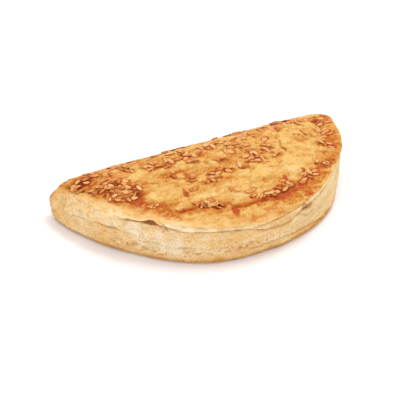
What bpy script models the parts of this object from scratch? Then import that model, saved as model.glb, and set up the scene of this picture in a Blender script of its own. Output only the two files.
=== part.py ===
"""Half-moon puff pastry turnover with a chicken filling, topped with linseeds.

One solid in metres, +Z up. +X runs along the straight folded edge, which is the back.
The curved sealed edge faces -Y, and the flat base rests on Z = 0.
"""

import math
import random

import bmesh
import bpy
import numpy as np
from mathutils import Matrix, Vector
from mathutils.bvhtree import BVHTree

# Driving dimensions, in millimetres
MM = 0.001
HALF_LENGTH = 90.0
TIP_Y = 41.0
FRONT_DEPTH = 86.8
FRONT_POWER_LEFT = 1.82
FRONT_POWER_RIGHT = 1.86
BACK_DEPTH = 5.0
BACK_POWER = 3.0
CORNER_SPREAD = 90.0
LEAN = 0.06
CENTRE = (4.0, 12.0)
RIDGE_Y = 22.0
RIDGE_DROP = 4.2
RIDGE_DROP_SPAN = 46.0
BASE_INSET = 3.2
BASE_CHAMFER = 2.6
FOLD_HEIGHT = 29.0
FOLD_BULGE = 6.4
FOLD_REACH = 24.0
FOLD_TURNS = (-1.0, 1.2)
FOLD_FULLNESS_BELOW = 0.9
FOLD_FULLNESS_ABOVE = 1.4
FOLD_STEP = 1.8
MOUND_REACH = 12.0
MOUND_ROWS = (0.08, 0.2, 0.36, 0.56, 0.78, 1.0)

# Heights, widths and depths that change along the length: (x, value) pairs in millimetres
RIDGE_HEIGHT = (
    (-90, 22.0), (-80, 28.5), (-62, 30.8), (-36, 32.2), (0, 34.6), (36, 33.0), (62, 31.0), (82, 28.0),
)
RIM_HEIGHT = (
    (-90, 21.5), (-83, 25.5), (-70, 27.0), (-50, 27.2), (-20, 25.8), (0, 25.2), (20, 24.0), (44, 23.4),
    (80, 24.0),
)
FOLD_SCALE = ((-90, 0.74), (-80, 0.88), (-50, 0.91), (0, 0.89), (60, 0.95), (82, 0.94), (90, 0.87))
FOOT_HEIGHT = ((-66, 3.4), (-10, 4.2), (6, 5.4), (30, 4.2), (48, 2.8), (90, 2.6))
LIP_GROOVE = (
    (-90, 13.5), (-80, 19.0), (-64, 25.2), (-49, 25.4), (-45, 23.6), (-40, 21.6), (-16, 21.6), (-2, 20.4),
    (8, 16.4), (22, 15.8), (31, 19.2), (41, 21.4), (80, 22.2),
)
LIP_DEPTH = ((-74, 0.0), (-64, 0.8), (-54, 3.2), (-46, 1.4), (20, 1.6), (38, 3.4), (56, 2.0), (80, 0.8))
LOW_GROOVE = ((-89, 8.0), (-85, 13.0), (-77, 16.2), (-68, 17.2), (-58, 14.6), (-40, 11.6), (40, 11.0))
LOW_DEPTH = ((-90, 0.8), (-74, 1.4), (-64, 0.6), (-56, 0.0))
SLOPED_RIM = ((-74, 1.0), (-52, 0.0))
TIP_BULGE = ((-90, 1.2), (-80, 0.5), (-66, 0.0), (70, 0.0), (88, 0.6))
RECESSED_LIP = ((30, 0.0), (56, 1.0), (80, 0.0))
CREASE_WIDTH = (
    (-84, 10.5), (-72, 12.6), (-62, 17.0), (-50, 20.4), (-6, 21.6), (14, 20.0), (36, 18.0), (48, 15.0),
    (60, 11.0), (80, 10.0),
)
STEP_HEIGHT = ((-82, 0.6), (-60, 2.4), (-36, 4.6), (36, 4.6), (60, 2.8), (80, 0.6))
# How far the foot of the wall lies inside the rim, beyond its own slope
OVERHANG = ((-30, 0.0), (-5, 1.2), (18, 3.2), (40, 0.2), (66, 0.0), (84, 3.0))

# Scalloped lobes of the mound's front foot: (x of the middle, half width, how far it bulges)
LOBES = ((-37, 10, 5.6), (-17, 6, 1.8), (2, 8, 3.0), (19, 7, 1.0), (31, 6, 0.8), (43, 7, 1.0))

# Soft lumps of the filling under the crust: (x, y, radius, height)
LUMPS = (
    (-52, 14, 13, 0.9), (-30, -4, 13, 1.0), (-34, 24, 12, 0.8), (-8, 10, 12, -0.8), (4, -12, 12, 0.8),
    (14, 22, 14, 0.7), (30, -2, 12, -0.7), (44, 10, 13, 1.0), (60, 24, 11, 0.7), (-14, 30, 10, 0.6),
)

# Patches where the seeds were sprinkled: (x, y, half width, half depth, seeds)
SEED_PATCHES = (
    (-74, 31, 6, 6, 5), (-66, 26, 9, 9, 10), (-54, 16, 10, 9, 10), (-48, 4, 8, 6, 5), (-54, 35, 13, 5, 7),
    (-43, -8, 6, 6, 4), (-20, -19, 13, 4, 7), (10, -20, 10, 3, 4), (38, -18, 15, 5, 9), (68, -2, 11, 9, 6),
    (81, 26, 6, 7, 5), (19, 18, 10, 7, 6), (28, 5, 7, 6, 5), (0, 2, 7, 6, 4), (-16, 1, 5, 5, 2),
    (-3, 16, 10, 7, 4), (-35, 36, 20, 5, 8), (0, 34, 22, 6, 9), (38, 34, 20, 6, 8), (70, 34, 14, 4, 5),
)
SEED_LENGTH = 4.6
SEED_WIDTH = 2.3
SEED_THICKNESS = 1.2
SEED_SUNK = 0.30
SEED_APART = 2.4
SEED_TILT = 0.16
SEED_RANDOM = 27

# Mesh resolution
OUTLINE_POINTS = 1440
STATIONS = 72
SEED_SIDES = 5
SEED_RINGS = 4


def track(x, stations):
    """Value at x, straight between the stations."""
    places = [place for place, _ in stations]
    values = [value for _, value in stations]
    return np.interp(x, places, values)


def ease(value, low, high):
    """0 below low, 1 above high, smooth between."""
    t = np.clip((value - low) / (high - low), 0.0, 1.0)
    return t * t * (3.0 - 2.0 * t)


def superellipse(angle, half_x, half_y, power):
    """Points of a superellipse at the angles given; the power may change with the angle."""
    c, s = np.cos(angle), np.sin(angle)
    x = half_x * np.sign(c) * np.abs(c) ** (2.0 / power)
    y = half_y * np.sign(s) * np.abs(s) ** (2.0 / power)
    return x, y


def outline(count):
    """Evenly spaced points of the plan outline, anticlockwise from the right tip, and inward directions.

    The directions are evened out along CORNER_SPREAD, so that inset rows turn the corners without crossing.
    """
    angle = np.linspace(0.0, math.tau, 8001)
    back_x, back_y = superellipse(angle, HALF_LENGTH, BACK_DEPTH, BACK_POWER)
    power = np.where(np.cos(angle) < 0.0, FRONT_POWER_LEFT, FRONT_POWER_RIGHT)
    front_x, front_y = superellipse(angle, HALF_LENGTH, FRONT_DEPTH, power)
    is_back = angle <= math.pi
    x = np.where(is_back, back_x, front_x)
    y = np.where(is_back, back_y, front_y)
    points = np.column_stack((x - LEAN * np.minimum(y, 0.0), y + TIP_Y))
    run = np.concatenate(([0.0], np.cumsum(np.linalg.norm(np.diff(points, axis=0), axis=1))))
    even = np.linspace(0.0, run[-1], OUTLINE_POINTS, endpoint=False)
    points = np.column_stack([np.interp(even, run, points[:, axis]) for axis in (0, 1)])
    along = np.roll(points, -1, axis=0) - np.roll(points, 1, axis=0)
    inward = np.column_stack((-along[:, 1], along[:, 0]))
    inward /= np.linalg.norm(inward, axis=1)[:, None]
    reach = int(0.5 * CORNER_SPREAD / run[-1] * OUTLINE_POINTS)
    smooth = np.zeros_like(inward)
    for shift, weight in zip(range(-reach, reach + 1), np.hanning(2 * reach + 1)):
        smooth += weight * np.roll(inward, shift, axis=0)
    smooth /= np.linalg.norm(smooth, axis=1)[:, None]
    step = OUTLINE_POINTS // count
    return points[::step], smooth[::step]


def crease_width(x):
    """Distance from the outline to the foot of the mound, scalloped by the lobes."""
    width = track(x, CREASE_WIDTH)
    for middle, half, bulge in LOBES:
        width = width - bulge * np.clip(1.0 - ((x - middle) / half) ** 2, 0.0, 1.0)
    return width


def crest(x, y):
    """Height of the mound's top surface."""
    drop = RIDGE_DROP * (np.maximum(RIDGE_Y - y, 0.0) / RIDGE_DROP_SPAN) ** 1.6
    z = track(x, RIDGE_HEIGHT) - drop
    for lump_x, lump_y, radius, height in LUMPS:
        z = z + height * np.exp(-2.0 * ((x - lump_x) ** 2 + (y - lump_y) ** 2) / radius ** 2)
    return z


def front_section(x):
    """Sealed edge from the base to the top of the mound's foot: (inset, height) rows."""
    rim = track(x, RIM_HEIGHT)
    lip = track(x, LIP_GROOVE)
    low = track(x, LOW_GROOVE)
    foot = track(x, FOOT_HEIGHT)
    sloped = track(x, SLOPED_RIM)
    recess = track(x, RECESSED_LIP)
    bulge = track(x, TIP_BULGE)
    crease = crease_width(x)
    step = track(x, STEP_HEIGHT)
    flat = np.zeros_like(x)
    return [
        (flat + BASE_INSET + BASE_CHAMFER, flat),
        (flat + BASE_INSET, flat + 0.9),
        (flat + BASE_INSET - 0.2, foot - 0.7),
        (flat + BASE_INSET + 0.6, foot),
        (flat + BASE_INSET - 1.4, foot + 1.6),
        (1.2 - 0.5 * bulge, 0.5 * (foot + 1.6 + low - 0.8)),
        (0.8 - bulge, low - 0.8),
        (0.8 - bulge + track(x, LOW_DEPTH), low),
        (0.6 - bulge, low + 0.9),
        (0.5 - bulge, lip - 1.3),
        (0.8 - bulge + track(x, LIP_DEPTH) + recess, lip),
        (0.1 - bulge + 1.2 * sloped + recess, lip + 0.8),
        (0.2 - bulge + 2.8 * sloped + recess, 0.5 * (lip + 0.8 + rim - 0.6)),
        (0.6 - bulge + 4.8 * sloped + recess, rim - 0.6),
        (2.0 - bulge + 6.0 * sloped + recess, rim + 0.2),
        (0.62 * crease, rim + 0.5),
        (crease - 1.4, rim + 0.1),
        (crease, rim - 0.6),
        (crease + 0.2, rim + 0.55 * step),
        (crease + 2.2, rim + step),
    ]


def fold_section(x, y_at):
    """Folded back edge, with as many rows as the sealed edge: (inset, height) rows."""
    height_scale = track(x, FOLD_SCALE)
    flat = np.zeros_like(x)
    rows = [(flat + BASE_INSET + BASE_CHAMFER, flat), (flat + BASE_INSET, flat + 0.9)]
    for turn in np.linspace(FOLD_TURNS[0], FOLD_TURNS[1], 13):
        fullness = FOLD_FULLNESS_ABOVE if turn > 0.0 else FOLD_FULLNESS_BELOW
        inset = FOLD_BULGE * (1.0 - math.cos(turn)) * fullness
        rows.append((flat + inset, 0.5 * FOLD_HEIGHT * (1.0 + math.sin(turn)) * height_scale))
    start, start_height = rows[-1]
    for step in range(1, 6):
        inset = start + FOLD_STEP * step
        top = crest(x, y_at(inset))
        gap = (top - start_height) * ((FOLD_REACH - inset) / (FOLD_REACH - start)) ** 2
        rows.append((inset, top - gap))
    return rows


def pastry_grid(count):
    """Surface points in rows from the base's centre to the mound's centre, count points a row."""
    edge, normal = outline(count)
    x = edge[:, 0]
    front = 1.0 - ease(edge[:, 1], TIP_Y - 6.0, TIP_Y + 5.0)
    overhang = front * track(x, OVERHANG)
    rim = track(x, RIM_HEIGHT)
    centre = np.array(CENTRE)
    base = edge + normal * (BASE_INSET + BASE_CHAMFER)
    rows = [np.column_stack((centre + (base - centre) * share, np.zeros(count))) for share in (0.0, 0.5)]
    fold = fold_section(x, lambda inset: edge[:, 1] + normal[:, 1] * inset)
    for (front_inset, front_height), (fold_inset, fold_height) in zip(front_section(x), fold):
        inset = front * front_inset + (1.0 - front) * fold_inset
        height = front * front_height + (1.0 - front) * fold_height
        inset = inset + overhang * np.clip(1.0 - height / rim, 0.0, 1.0)
        rows.append(np.column_stack((edge + normal * inset[:, None], height)))
    foot = rows[-1]
    gap = crest(foot[:, 0], foot[:, 1]) - foot[:, 2]
    length = np.linalg.norm(foot[:, :2] - centre, axis=1)
    for share in MOUND_ROWS:
        plan = foot[:, :2] + (centre - foot[:, :2]) * share
        left = np.clip(1.0 - share * length / MOUND_REACH, 0.0, 1.0) ** 2
        rows.append(np.column_stack((plan, crest(plan[:, 0], plan[:, 1]) - gap * left)))
    return np.array(rows)


def make_material(name, colour, roughness):
    """Principled material with the finish of a baked surface."""
    material = bpy.data.materials.new(name)
    material.use_nodes = True
    shader = material.node_tree.nodes["Principled BSDF"]
    shader.inputs["Base Color"].default_value = (*colour, 1.0)
    shader.inputs["Roughness"].default_value = roughness
    shader.inputs["Metallic"].default_value = 0.0
    return material


def make_pastry(collection, material):
    """The turnover's body: a sphere whose rings become the rows of the pastry's surface."""
    grid = pastry_grid(STATIONS) * MM
    last = len(grid) - 1
    bm = bmesh.new()
    bmesh.ops.create_uvsphere(bm, u_segments=STATIONS, v_segments=last, radius=1.0)
    for vert in bm.verts:
        row = round(math.acos(max(-1.0, min(1.0, -vert.co.z))) / math.pi * last)
        station = round(math.atan2(vert.co.y, vert.co.x) / math.tau * STATIONS) % STATIONS
        vert.co = grid[row, station]
    bmesh.ops.triangulate(bm, faces=bm.faces)
    mesh = bpy.data.meshes.new("pastry")
    bm.to_mesh(mesh)
    bm.free()
    mesh.materials.append(material)
    pastry = bpy.data.objects.new("pastry", mesh)
    collection.objects.link(pastry)
    return pastry


def seed_places(surface):
    """World matrices of the seeds: scattered in each patch, laid flat on the surface below."""
    places = []
    for number, (patch_x, patch_y, half_x, half_y, count) in enumerate(SEED_PATCHES):
        draw = random.Random(SEED_RANDOM + number)
        taken = []
        for _ in range(count):
            angle = draw.uniform(0.0, math.tau)
            reach = math.sqrt(draw.random())
            across, away = half_x * reach * math.cos(angle), half_y * reach * math.sin(angle)
            spot = Vector((patch_x + across, patch_y + away))
            yaw = draw.uniform(0.0, math.tau)
            tilt = draw.uniform(-SEED_TILT, SEED_TILT)
            size = draw.uniform(0.88, 1.08)
            hit, normal, _, _ = surface.ray_cast(Vector((spot.x * MM, spot.y * MM, 1.0)), Vector((0, 0, -1)))
            if hit is None or normal.z < 0.45 or any((spot - other).length < SEED_APART for other in taken):
                continue
            taken.append(spot)
            upright = Vector((0, 0, 1)).rotation_difference(normal).to_matrix().to_4x4()
            lift = Matrix.Translation(hit + normal * (0.5 - SEED_SUNK) * SEED_THICKNESS * MM)
            turn = Matrix.Rotation(yaw, 4, "Z") @ Matrix.Rotation(tilt, 4, "Y")
            places.append(lift @ upright @ turn @ Matrix.Scale(size, 4))
    return places


def make_seed_mesh(material):
    """One linseed lying along +X: a flattened drop, pointed at one end."""
    bm = bmesh.new()
    bmesh.ops.create_uvsphere(bm, u_segments=SEED_SIDES, v_segments=SEED_RINGS, radius=0.5)
    for vert in bm.verts:
        along = 2.0 * vert.co.z
        slim = 1.0 - 0.22 * along
        vert.co = Vector((
            along * 0.5 * SEED_LENGTH * MM,
            vert.co.x * SEED_WIDTH * slim * MM,
            vert.co.y * SEED_THICKNESS * MM,
        ))
    bmesh.ops.triangulate(bm, faces=bm.faces)
    bmesh.ops.recalc_face_normals(bm, faces=bm.faces)
    mesh = bpy.data.meshes.new("seed")
    bm.to_mesh(mesh)
    bm.free()
    mesh.materials.append(material)
    return mesh


def drop_loose_scraps(mesh):
    """Keep only the largest connected body of the mesh."""
    bm = bmesh.new()
    bm.from_mesh(mesh)
    unseen = set(bm.verts)
    bodies = []
    while unseen:
        front = [unseen.pop()]
        body = set(front)
        while front:
            for edge in front.pop().link_edges:
                for vert in edge.verts:
                    if vert in unseen:
                        unseen.remove(vert)
                        body.add(vert)
                        front.append(vert)
        bodies.append(body)
    bodies.sort(key=len)
    bmesh.ops.delete(bm, geom=[vert for body in bodies[:-1] for vert in body], context="VERTS")
    bm.to_mesh(mesh)
    bm.free()


def fuse_seeds(pastry, seed_material):
    """Join the seeds to the crust by one union, so that the turnover is a single solid."""
    surface = BVHTree.FromPolygons(
        [vert.co for vert in pastry.data.vertices], [tuple(face.vertices) for face in pastry.data.polygons]
    )
    mesh = make_seed_mesh(seed_material)
    seeds = bpy.data.collections.new("loose seeds")
    bpy.context.scene.collection.children.link(seeds)
    for place in seed_places(surface):
        seed = bpy.data.objects.new("seed", mesh)
        seed.matrix_world = place
        seed.hide_render = True
        seed.display_type = "WIRE"
        seeds.objects.link(seed)
    union = pastry.modifiers.new("seeds", "BOOLEAN")
    union.operation = "UNION"
    union.operand_type = "COLLECTION"
    union.collection = seeds
    union.solver = "MANIFOLD"
    bpy.context.view_layer.update()
    evaluated = pastry.evaluated_get(bpy.context.evaluated_depsgraph_get())
    fused = bpy.data.meshes.new_from_object(evaluated)
    pastry.modifiers.remove(union)
    drop_loose_scraps(fused)
    pastry.data = fused
    fused.name = "pastry"
    for seed in list(seeds.objects):
        bpy.data.objects.remove(seed, do_unlink=True)
    bpy.data.collections.remove(seeds)


def main():
    for old in list(bpy.data.objects):
        bpy.data.objects.remove(old, do_unlink=True)
    collection = bpy.data.collections.new("chicken turnover")
    bpy.context.scene.collection.children.link(collection)
    crust = make_material("baked_pastry", (0.78, 0.50, 0.20), 0.55)
    seed_material = make_material("toasted_linseed", (0.55, 0.27, 0.09), 0.4)
    pastry = make_pastry(collection, crust)
    fuse_seeds(pastry, seed_material)
    pastry.data.shade_smooth()


main()
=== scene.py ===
"""Puff pastry turnover with a mounded golden crust, a layered sealed edge and toasted linseeds."""

import itertools
import math
import random

import bmesh
import bpy
import numpy as np
from mathutils import Matrix, Vector
from mathutils.bvhtree import BVHTree
from mathutils.geometry import delaunay_2d_cdt
from mathutils.kdtree import KDTree


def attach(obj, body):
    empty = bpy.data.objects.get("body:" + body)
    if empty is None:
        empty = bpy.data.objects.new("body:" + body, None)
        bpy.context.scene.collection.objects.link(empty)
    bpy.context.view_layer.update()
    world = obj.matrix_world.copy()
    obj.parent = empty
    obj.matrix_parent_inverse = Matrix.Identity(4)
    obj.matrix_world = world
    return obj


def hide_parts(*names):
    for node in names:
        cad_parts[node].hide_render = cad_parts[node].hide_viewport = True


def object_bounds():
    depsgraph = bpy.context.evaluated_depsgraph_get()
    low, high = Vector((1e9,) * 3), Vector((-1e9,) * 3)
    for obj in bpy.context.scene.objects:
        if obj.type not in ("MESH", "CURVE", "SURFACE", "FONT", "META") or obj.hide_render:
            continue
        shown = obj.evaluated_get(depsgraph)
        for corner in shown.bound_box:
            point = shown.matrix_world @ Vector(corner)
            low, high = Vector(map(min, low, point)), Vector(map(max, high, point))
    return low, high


bl_info = {
    "name": "Puff Pastry Turnover",
    "version": (1, 0, 0),
    "blender": (4, 5, 0),
    "location": "View3D > Sidebar > Turnover",
    "description": "Builds a baked half-moon turnover with linseeds and its white studio table",
    "category": "Object",
}

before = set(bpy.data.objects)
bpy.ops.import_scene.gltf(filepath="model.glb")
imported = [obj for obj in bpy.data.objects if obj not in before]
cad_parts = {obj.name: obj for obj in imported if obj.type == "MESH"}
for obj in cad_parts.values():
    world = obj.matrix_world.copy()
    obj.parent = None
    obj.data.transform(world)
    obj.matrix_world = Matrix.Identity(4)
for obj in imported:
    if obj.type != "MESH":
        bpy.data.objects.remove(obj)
CAD_LOW, CAD_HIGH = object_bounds()

# Plan outline and section of the pastry, in millimetres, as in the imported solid
MM = 0.001
HALF_LENGTH = 90.0
TIP_Y = 41.0
FRONT_DEPTH = 86.8
FRONT_POWER_LEFT = 1.82
FRONT_POWER_RIGHT = 1.86
BACK_DEPTH = 5.0
BACK_POWER = 3.0
CORNER_SPREAD = 90.0
LEAN = 0.06
CENTRE = (4.0, 12.0)
RIDGE_Y = 22.0
RIDGE_DROP = 4.2
RIDGE_DROP_SPAN = 46.0
BASE_INSET = 3.2
BASE_CHAMFER = 2.6
FOLD_HEIGHT = 29.0
FOLD_BULGE = 6.4
FOLD_REACH = 24.0
FOLD_TURNS = (-1.0, 1.2)
FOLD_FULLNESS_BELOW = 0.9
FOLD_FULLNESS_ABOVE = 1.4
FOLD_STEP = 1.8
TIP_BLEND = (-6.0, 5.0)
MOUND_REACH = 18.0
MOUND_ROWS = (0.08, 0.2, 0.36, 0.56, 0.78, 1.0)

# Heights, widths and depths that change along the length: (x, value) pairs in millimetres
RIDGE_HEIGHT = (
    (-90, 22.0), (-80, 28.5), (-62, 30.6), (-36, 31.7), (0, 34.4), (36, 33.0), (62, 31.2), (82, 28.0),
)
RIM_HEIGHT = (
    (-90, 21.5), (-83, 25.5), (-70, 27.2), (-50, 27.6), (-20, 25.8), (0, 25.2), (20, 24.0), (44, 23.4),
    (80, 24.0),
)
FOLD_SCALE = ((-90, 0.74), (-80, 0.88), (-50, 0.91), (0, 0.89), (60, 0.95), (82, 0.94), (90, 0.87))
FOOT_HEIGHT = (
    (-66, 3.0), (-14, 3.6), (-5, 4.6), (2, 5.4), (10, 6.0), (22, 6.2), (30, 5.5), (38, 5.2), (47, 3.8),
    (54, 2.4), (90, 2.2),
)
FOOT_LEDGE = ((-20, 0.0), (-10, 0.6), (2, 1.0), (50, 1.0), (62, 0.5), (76, 0.0))
# Painted shade along the groove at the foot, along the length
FOOT_SHADE_LINE = ((-20, 0.0), (-10, 0.35), (16, 0.4), (34, 0.8), (62, 0.9), (76, 0.3))
LIP_GROOVE = (
    (-90, 13.5), (-80, 19.0), (-64, 25.9), (-50, 26.2), (-45, 24.6), (-40, 22.9), (-16, 22.9), (-2, 22.4),
    (8, 18.6), (22, 17.2), (31, 20.4), (41, 22.0), (80, 22.0),
)
LIP_DEPTH = (
    (-74, 0.0), (-64, 0.8), (-54, 3.2), (-46, 1.4), (20, 1.6), (38, 3.4), (56, 2.4), (72, 2.6), (84, 1.4),
)
LOW_GROOVE = ((-89, 9.5), (-85, 14.3), (-77, 17.0), (-68, 17.4), (-58, 14.6), (-40, 11.6), (40, 11.6))
LOW_DEPTH = ((-90, 0.1), (-80, 0.3), (-74, 0.9), (-68, 0.9), (-62, 0.2), (-56, 0.0))
TIP_FULLNESS = ((-90, 2.9), (-86, 2.2), (-82, 1.0), (-76, 0.2), (-70, 0.0))
WAIST = ((40, 0.0), (54, 0.6), (63, 1.3), (72, 2.2), (82, 0.8), (88, 0.0))
SLOPED_RIM = ((-74, 1.0), (-52, 0.0))
TIP_BULGE = ((-90, 1.2), (-80, 0.5), (-66, 0.0), (66, 0.0), (78, 1.0), (88, 1.2))
RECESSED_LIP = ((30, 0.0), (56, 1.1), (66, 2.2), (72, 2.4), (82, 0.4), (88, 0.0))
CREASE_WIDTH = (
    (-84, 10.5), (-72, 12.6), (-62, 17.0), (-50, 20.4), (-6, 21.6), (14, 20.0), (36, 18.0), (48, 15.0),
    (60, 11.0), (80, 10.0),
)
STEP_HEIGHT = ((-82, 0.6), (-60, 1.8), (-36, 2.5), (-16, 2.3), (4, 2.2), (36, 2.0), (60, 1.5), (80, 0.6))
OVERHANG = (
    (-84, 0.7), (-76, -0.2), (-70, -0.3), (-60, -0.2), (-49, -1.3), (-37, -2.1), (-24, -2.4), (-12, -1.2),
    (2, 0.4), (13, 0.8), (20, -0.3), (30, -0.6), (39, -1.5), (51, -2.4), (62, -2.8), (74, -0.8), (84, 1.8),
)

# Scalloped lobes of the mound's front foot: (x of the middle, half width, how far it bulges)
LOBES = (
    (-40, 12, 5.2), (-47, 13, 3.8), (-17, 6, 1.8), (1, 9, 3.8), (15, 8, 1.4), (31, 6, 0.8), (43, 7, 1.0),
)

# Soft lumps of the filling under the crust: (x, y, radius, height)
LUMPS = (
    (-52, 14, 13, 0.9), (-30, -4, 13, 1.0), (-34, 27, 13, -0.9), (-8, 10, 12, -0.8), (4, -12, 12, 0.8),
    (14, 22, 14, 0.7), (30, -2, 12, -0.7), (44, 10, 13, 1.0), (60, 24, 11, 0.7), (-14, 30, 10, 0.6),
)

# Patches where the seeds were sprinkled: (x, y, half width, half depth, seeds)
SEED_PATCHES = (
    (-75, 29, 5, 5, 12), (-66, 29, 5, 3, 8), (-67, 19, 5, 4, 13), (-59, 18, 5, 4, 10), (-62, 10, 6, 4, 12),
    (-56, 4, 6, 4, 13), (-49, 3, 5, 5, 3), (-52, 12, 4, 4, 5), (-57, 31, 5, 3, 6), (-66, 38, 3, 2, 3),
    (-47, 25, 5, 4, 7), (-33, 22, 5, 5, 7), (-22, 20, 6, 4, 9), (-16, 25, 6, 3, 3), (-9, 21, 6, 4, 7),
    (0, 26, 6, 3, 7), (7, 22, 5, 4, 6), (-10, 14, 3, 3, 4), (5, 8, 4, 2, 4), (-26, 8, 2, 2, 3),
    (-15, 3, 4, 3, 4), (-17, -1, 2, 2, 2), (-10, -6, 2, 2, 1), (-4, -2, 4, 3, 7), (-20, -9, 2, 2, 2),
    (5, -2, 4, 2, 4), (14, 17, 4, 4, 8), (22, 17, 4, 3, 7), (16, 24, 4, 3, 4), (29, 25, 6, 3, 7),
    (36, 18, 3, 3, 2), (26, 8, 4, 3, 8), (35, 10, 4, 3, 6), (21, 4, 3, 3, 6), (28, 2, 3, 3, 7),
    (36, -3, 2, 2, 1), (39, 2, 3, 2, 2), (15, 0, 2, 2, 2), (44, 31, 5, 3, 7), (50, 27, 4, 3, 5),
    (59, 32, 4, 3, 5), (65, 29, 4, 3, 6), (73, 34, 6, 3, 4), (61, 19, 5, 4, 2), (82, 31, 4, 3, 9),
    (78, 20, 4, 5, 7), (73, 8, 4, 4, 6), (63, -7, 6, 2, 5), (52, -14, 4, 3, 10), (35, -19, 3, 3, 6),
    (44, -19, 2, 2, 3), (11, -22, 3, 3, 5), (22, -24, 5, 2, 9), (30, -23, 4, 2, 7), (3, -17, 3, 2, 2),
    (-21, -20, 4, 2, 3), (-15, -21, 3, 2, 6), (-10, -23, 3, 2, 5), (-46, 35, 10, 3, 7),
    (-14, 36, 18, 4, 13), (24, 37, 16, 3, 12), (58, 35.5, 14, 1.6, 15), (-62, 20, 3, 2, 3),
    (-8, -5, 2, 2, 2), (-66, 35, 3, 1, 5), (-50, 34, 3, 1, 4), (-78, 32, 3, 2, 6), (83, 35, 2.5, 1.5, 6),
)
SEED_SUNK = 0.28
SEED_APART = 1.2
SEED_OVERLAP = 2.6
SEED_STACK = 0.36
SEED_TILT = 0.2
SEED_TILT_MOST = 0.4
SEED_YAW = (-0.34, 0.62)
FOLD_SEEDS_Y = 30.0
FOLD_SEEDS_CALM = 0.35
SEED_SIZES = (0.86, 1.08)
SEED_STEEPEST = 0.3
SEED_SIDES = 14
SEED_RINGS = 11
SEED_RANDOM = 27

# How toasted the seeds are, from 0 to 1: the usual (middle, spread), its limits, the share of seeds that are
# darker and by how much, and where the rim starts to darken and how fast; the rim's darkening is partly
# toasting and partly painted shade along the seed's edge
TOAST_USUAL = (0.3, 0.16)
TOAST_LEAST = 0.05
TOAST_MOST = 0.9
DARK_SEEDS = 0.14
DARK_SEED_TOAST = 0.35
RIM_STARTS = 0.7
RIM_TOAST_AND_SHADE = 1.6
TOAST_RANDOM = 5

# Darker line round each seed, partly browning where the egg wash gathered and partly painted contact shade:
# where it lies and how wide, in half seeds, and how much darker it is
SEED_LINE_BROWNING_AND_SHADE = (0.1, 0.34, 0.38)

# Loose husks and flakes, most of them along the mound's foot: (x, y, half width, half depth, husks)
HUSK_PATCHES = (
    (-45.5, -10.5, 3, 1.5, 7), (-36, -19, 3, 1.2, 5), (-19, -20, 5, 1.6, 20), (-12, -22, 4, 1.6, 13),
    (13, -24.5, 4, 1.6, 10), (23, -24, 4, 1.5, 9), (36, -19.5, 3, 1.8, 9), (50, -14, 4, 1.8, 6),
    (-58, 8, 12, 7, 14), (-66, 24, 8, 8, 9), (-20, 14, 22, 10, 14), (20, 12, 16, 10, 14),
    (60, 18, 20, 14, 8),
)
HUSK_SUNK = 0.15
HUSK_PROP = 2.4
HUSK_PITCH = (-0.6, 0.1)
HUSK_ROLL = (-0.6, 0.6)
HUSK_SIZES = (0.6, 1.15)
HUSK_STEEPEST = 0.2
HUSK_SIDES = 8
HUSK_RINGS = 7
HUSK_RANDOM = 127
HUSK_BROWNED = (0.8, 0.55, 0.3)

# Finer parts of the sealed edge: the hollow under the lip and its mouth's section (row, inset, height), where
# the groove under the lip is pressed shut, the groove under the top sheet's edge and its row, and how far the
# mound's foot is softened, with each softened row's place between the strip and the mound
# The hollow's mouth also sets how much painted shade darkens it
HOLLOW_MOUTH = ((-58.5, 0.0), (-56.2, 0.45), (-54.4, 0.9), (-52.4, 0.95), (-50.8, 0.5), (-49, 0.0))
MOUTH_SECTION = (
    (11, 1.0, 24.4), (12, 4.4, 24.9), (13, 3.2, 27.2), (14, 2.7, 27.8), (15, 3.2, 28.3), (16, 4.6, 28.6),
)
GROOVE_CLOSED = (
    (-74, 0.3), (-60, 0.6), (-56.5, 0.0), (-53, 0.0), (-51, 0.85), (-46, 0.9), (-44, 0.3), (-37, 0.3),
    (-34, 0.7), (-13, 0.7), (-10, 0.2), (0, 0.0),
)
SHEET_GROOVE = ((0, 0.0), (5, 0.8), (22, 1.0), (38, 1.0), (46, 0.0))
SHEET_ROW = ((3, 13.8), (6.5, 14.3), (11, 14.5), (16, 14.8), (22, 15.3), (30, 15.7), (38, 15.8))
SOFT_FOOT = (
    (-89, 0.0), (-80, 0.9), (-66, 0.9), (-54, 0.82), (-44, 0.82), (-30, 0.66), (-20, 0.6), (-10, 0.65),
    (8, 0.75), (24, 0.9), (60, 0.95), (80, 0.9), (89, 0.0),
)
SOFT_ROWS = ((18, 0.3), (19, 0.46), (20, 0.58), (21, 0.78))

# Where the cut side's wall lies back below the hollow, from between the first two x to between the last two,
# and how far back
SUNK_WALL = (-64.9, -63.9, -46.0, -43.0)
SUNK_DEPTH = 0.9

# Hair cracks of the cut side: (size of the cells between them, random number), and their depth
FISSURES = ((6.5, 56), (3.4, 58))
FISSURE_DEPTH = 0.3
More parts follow.
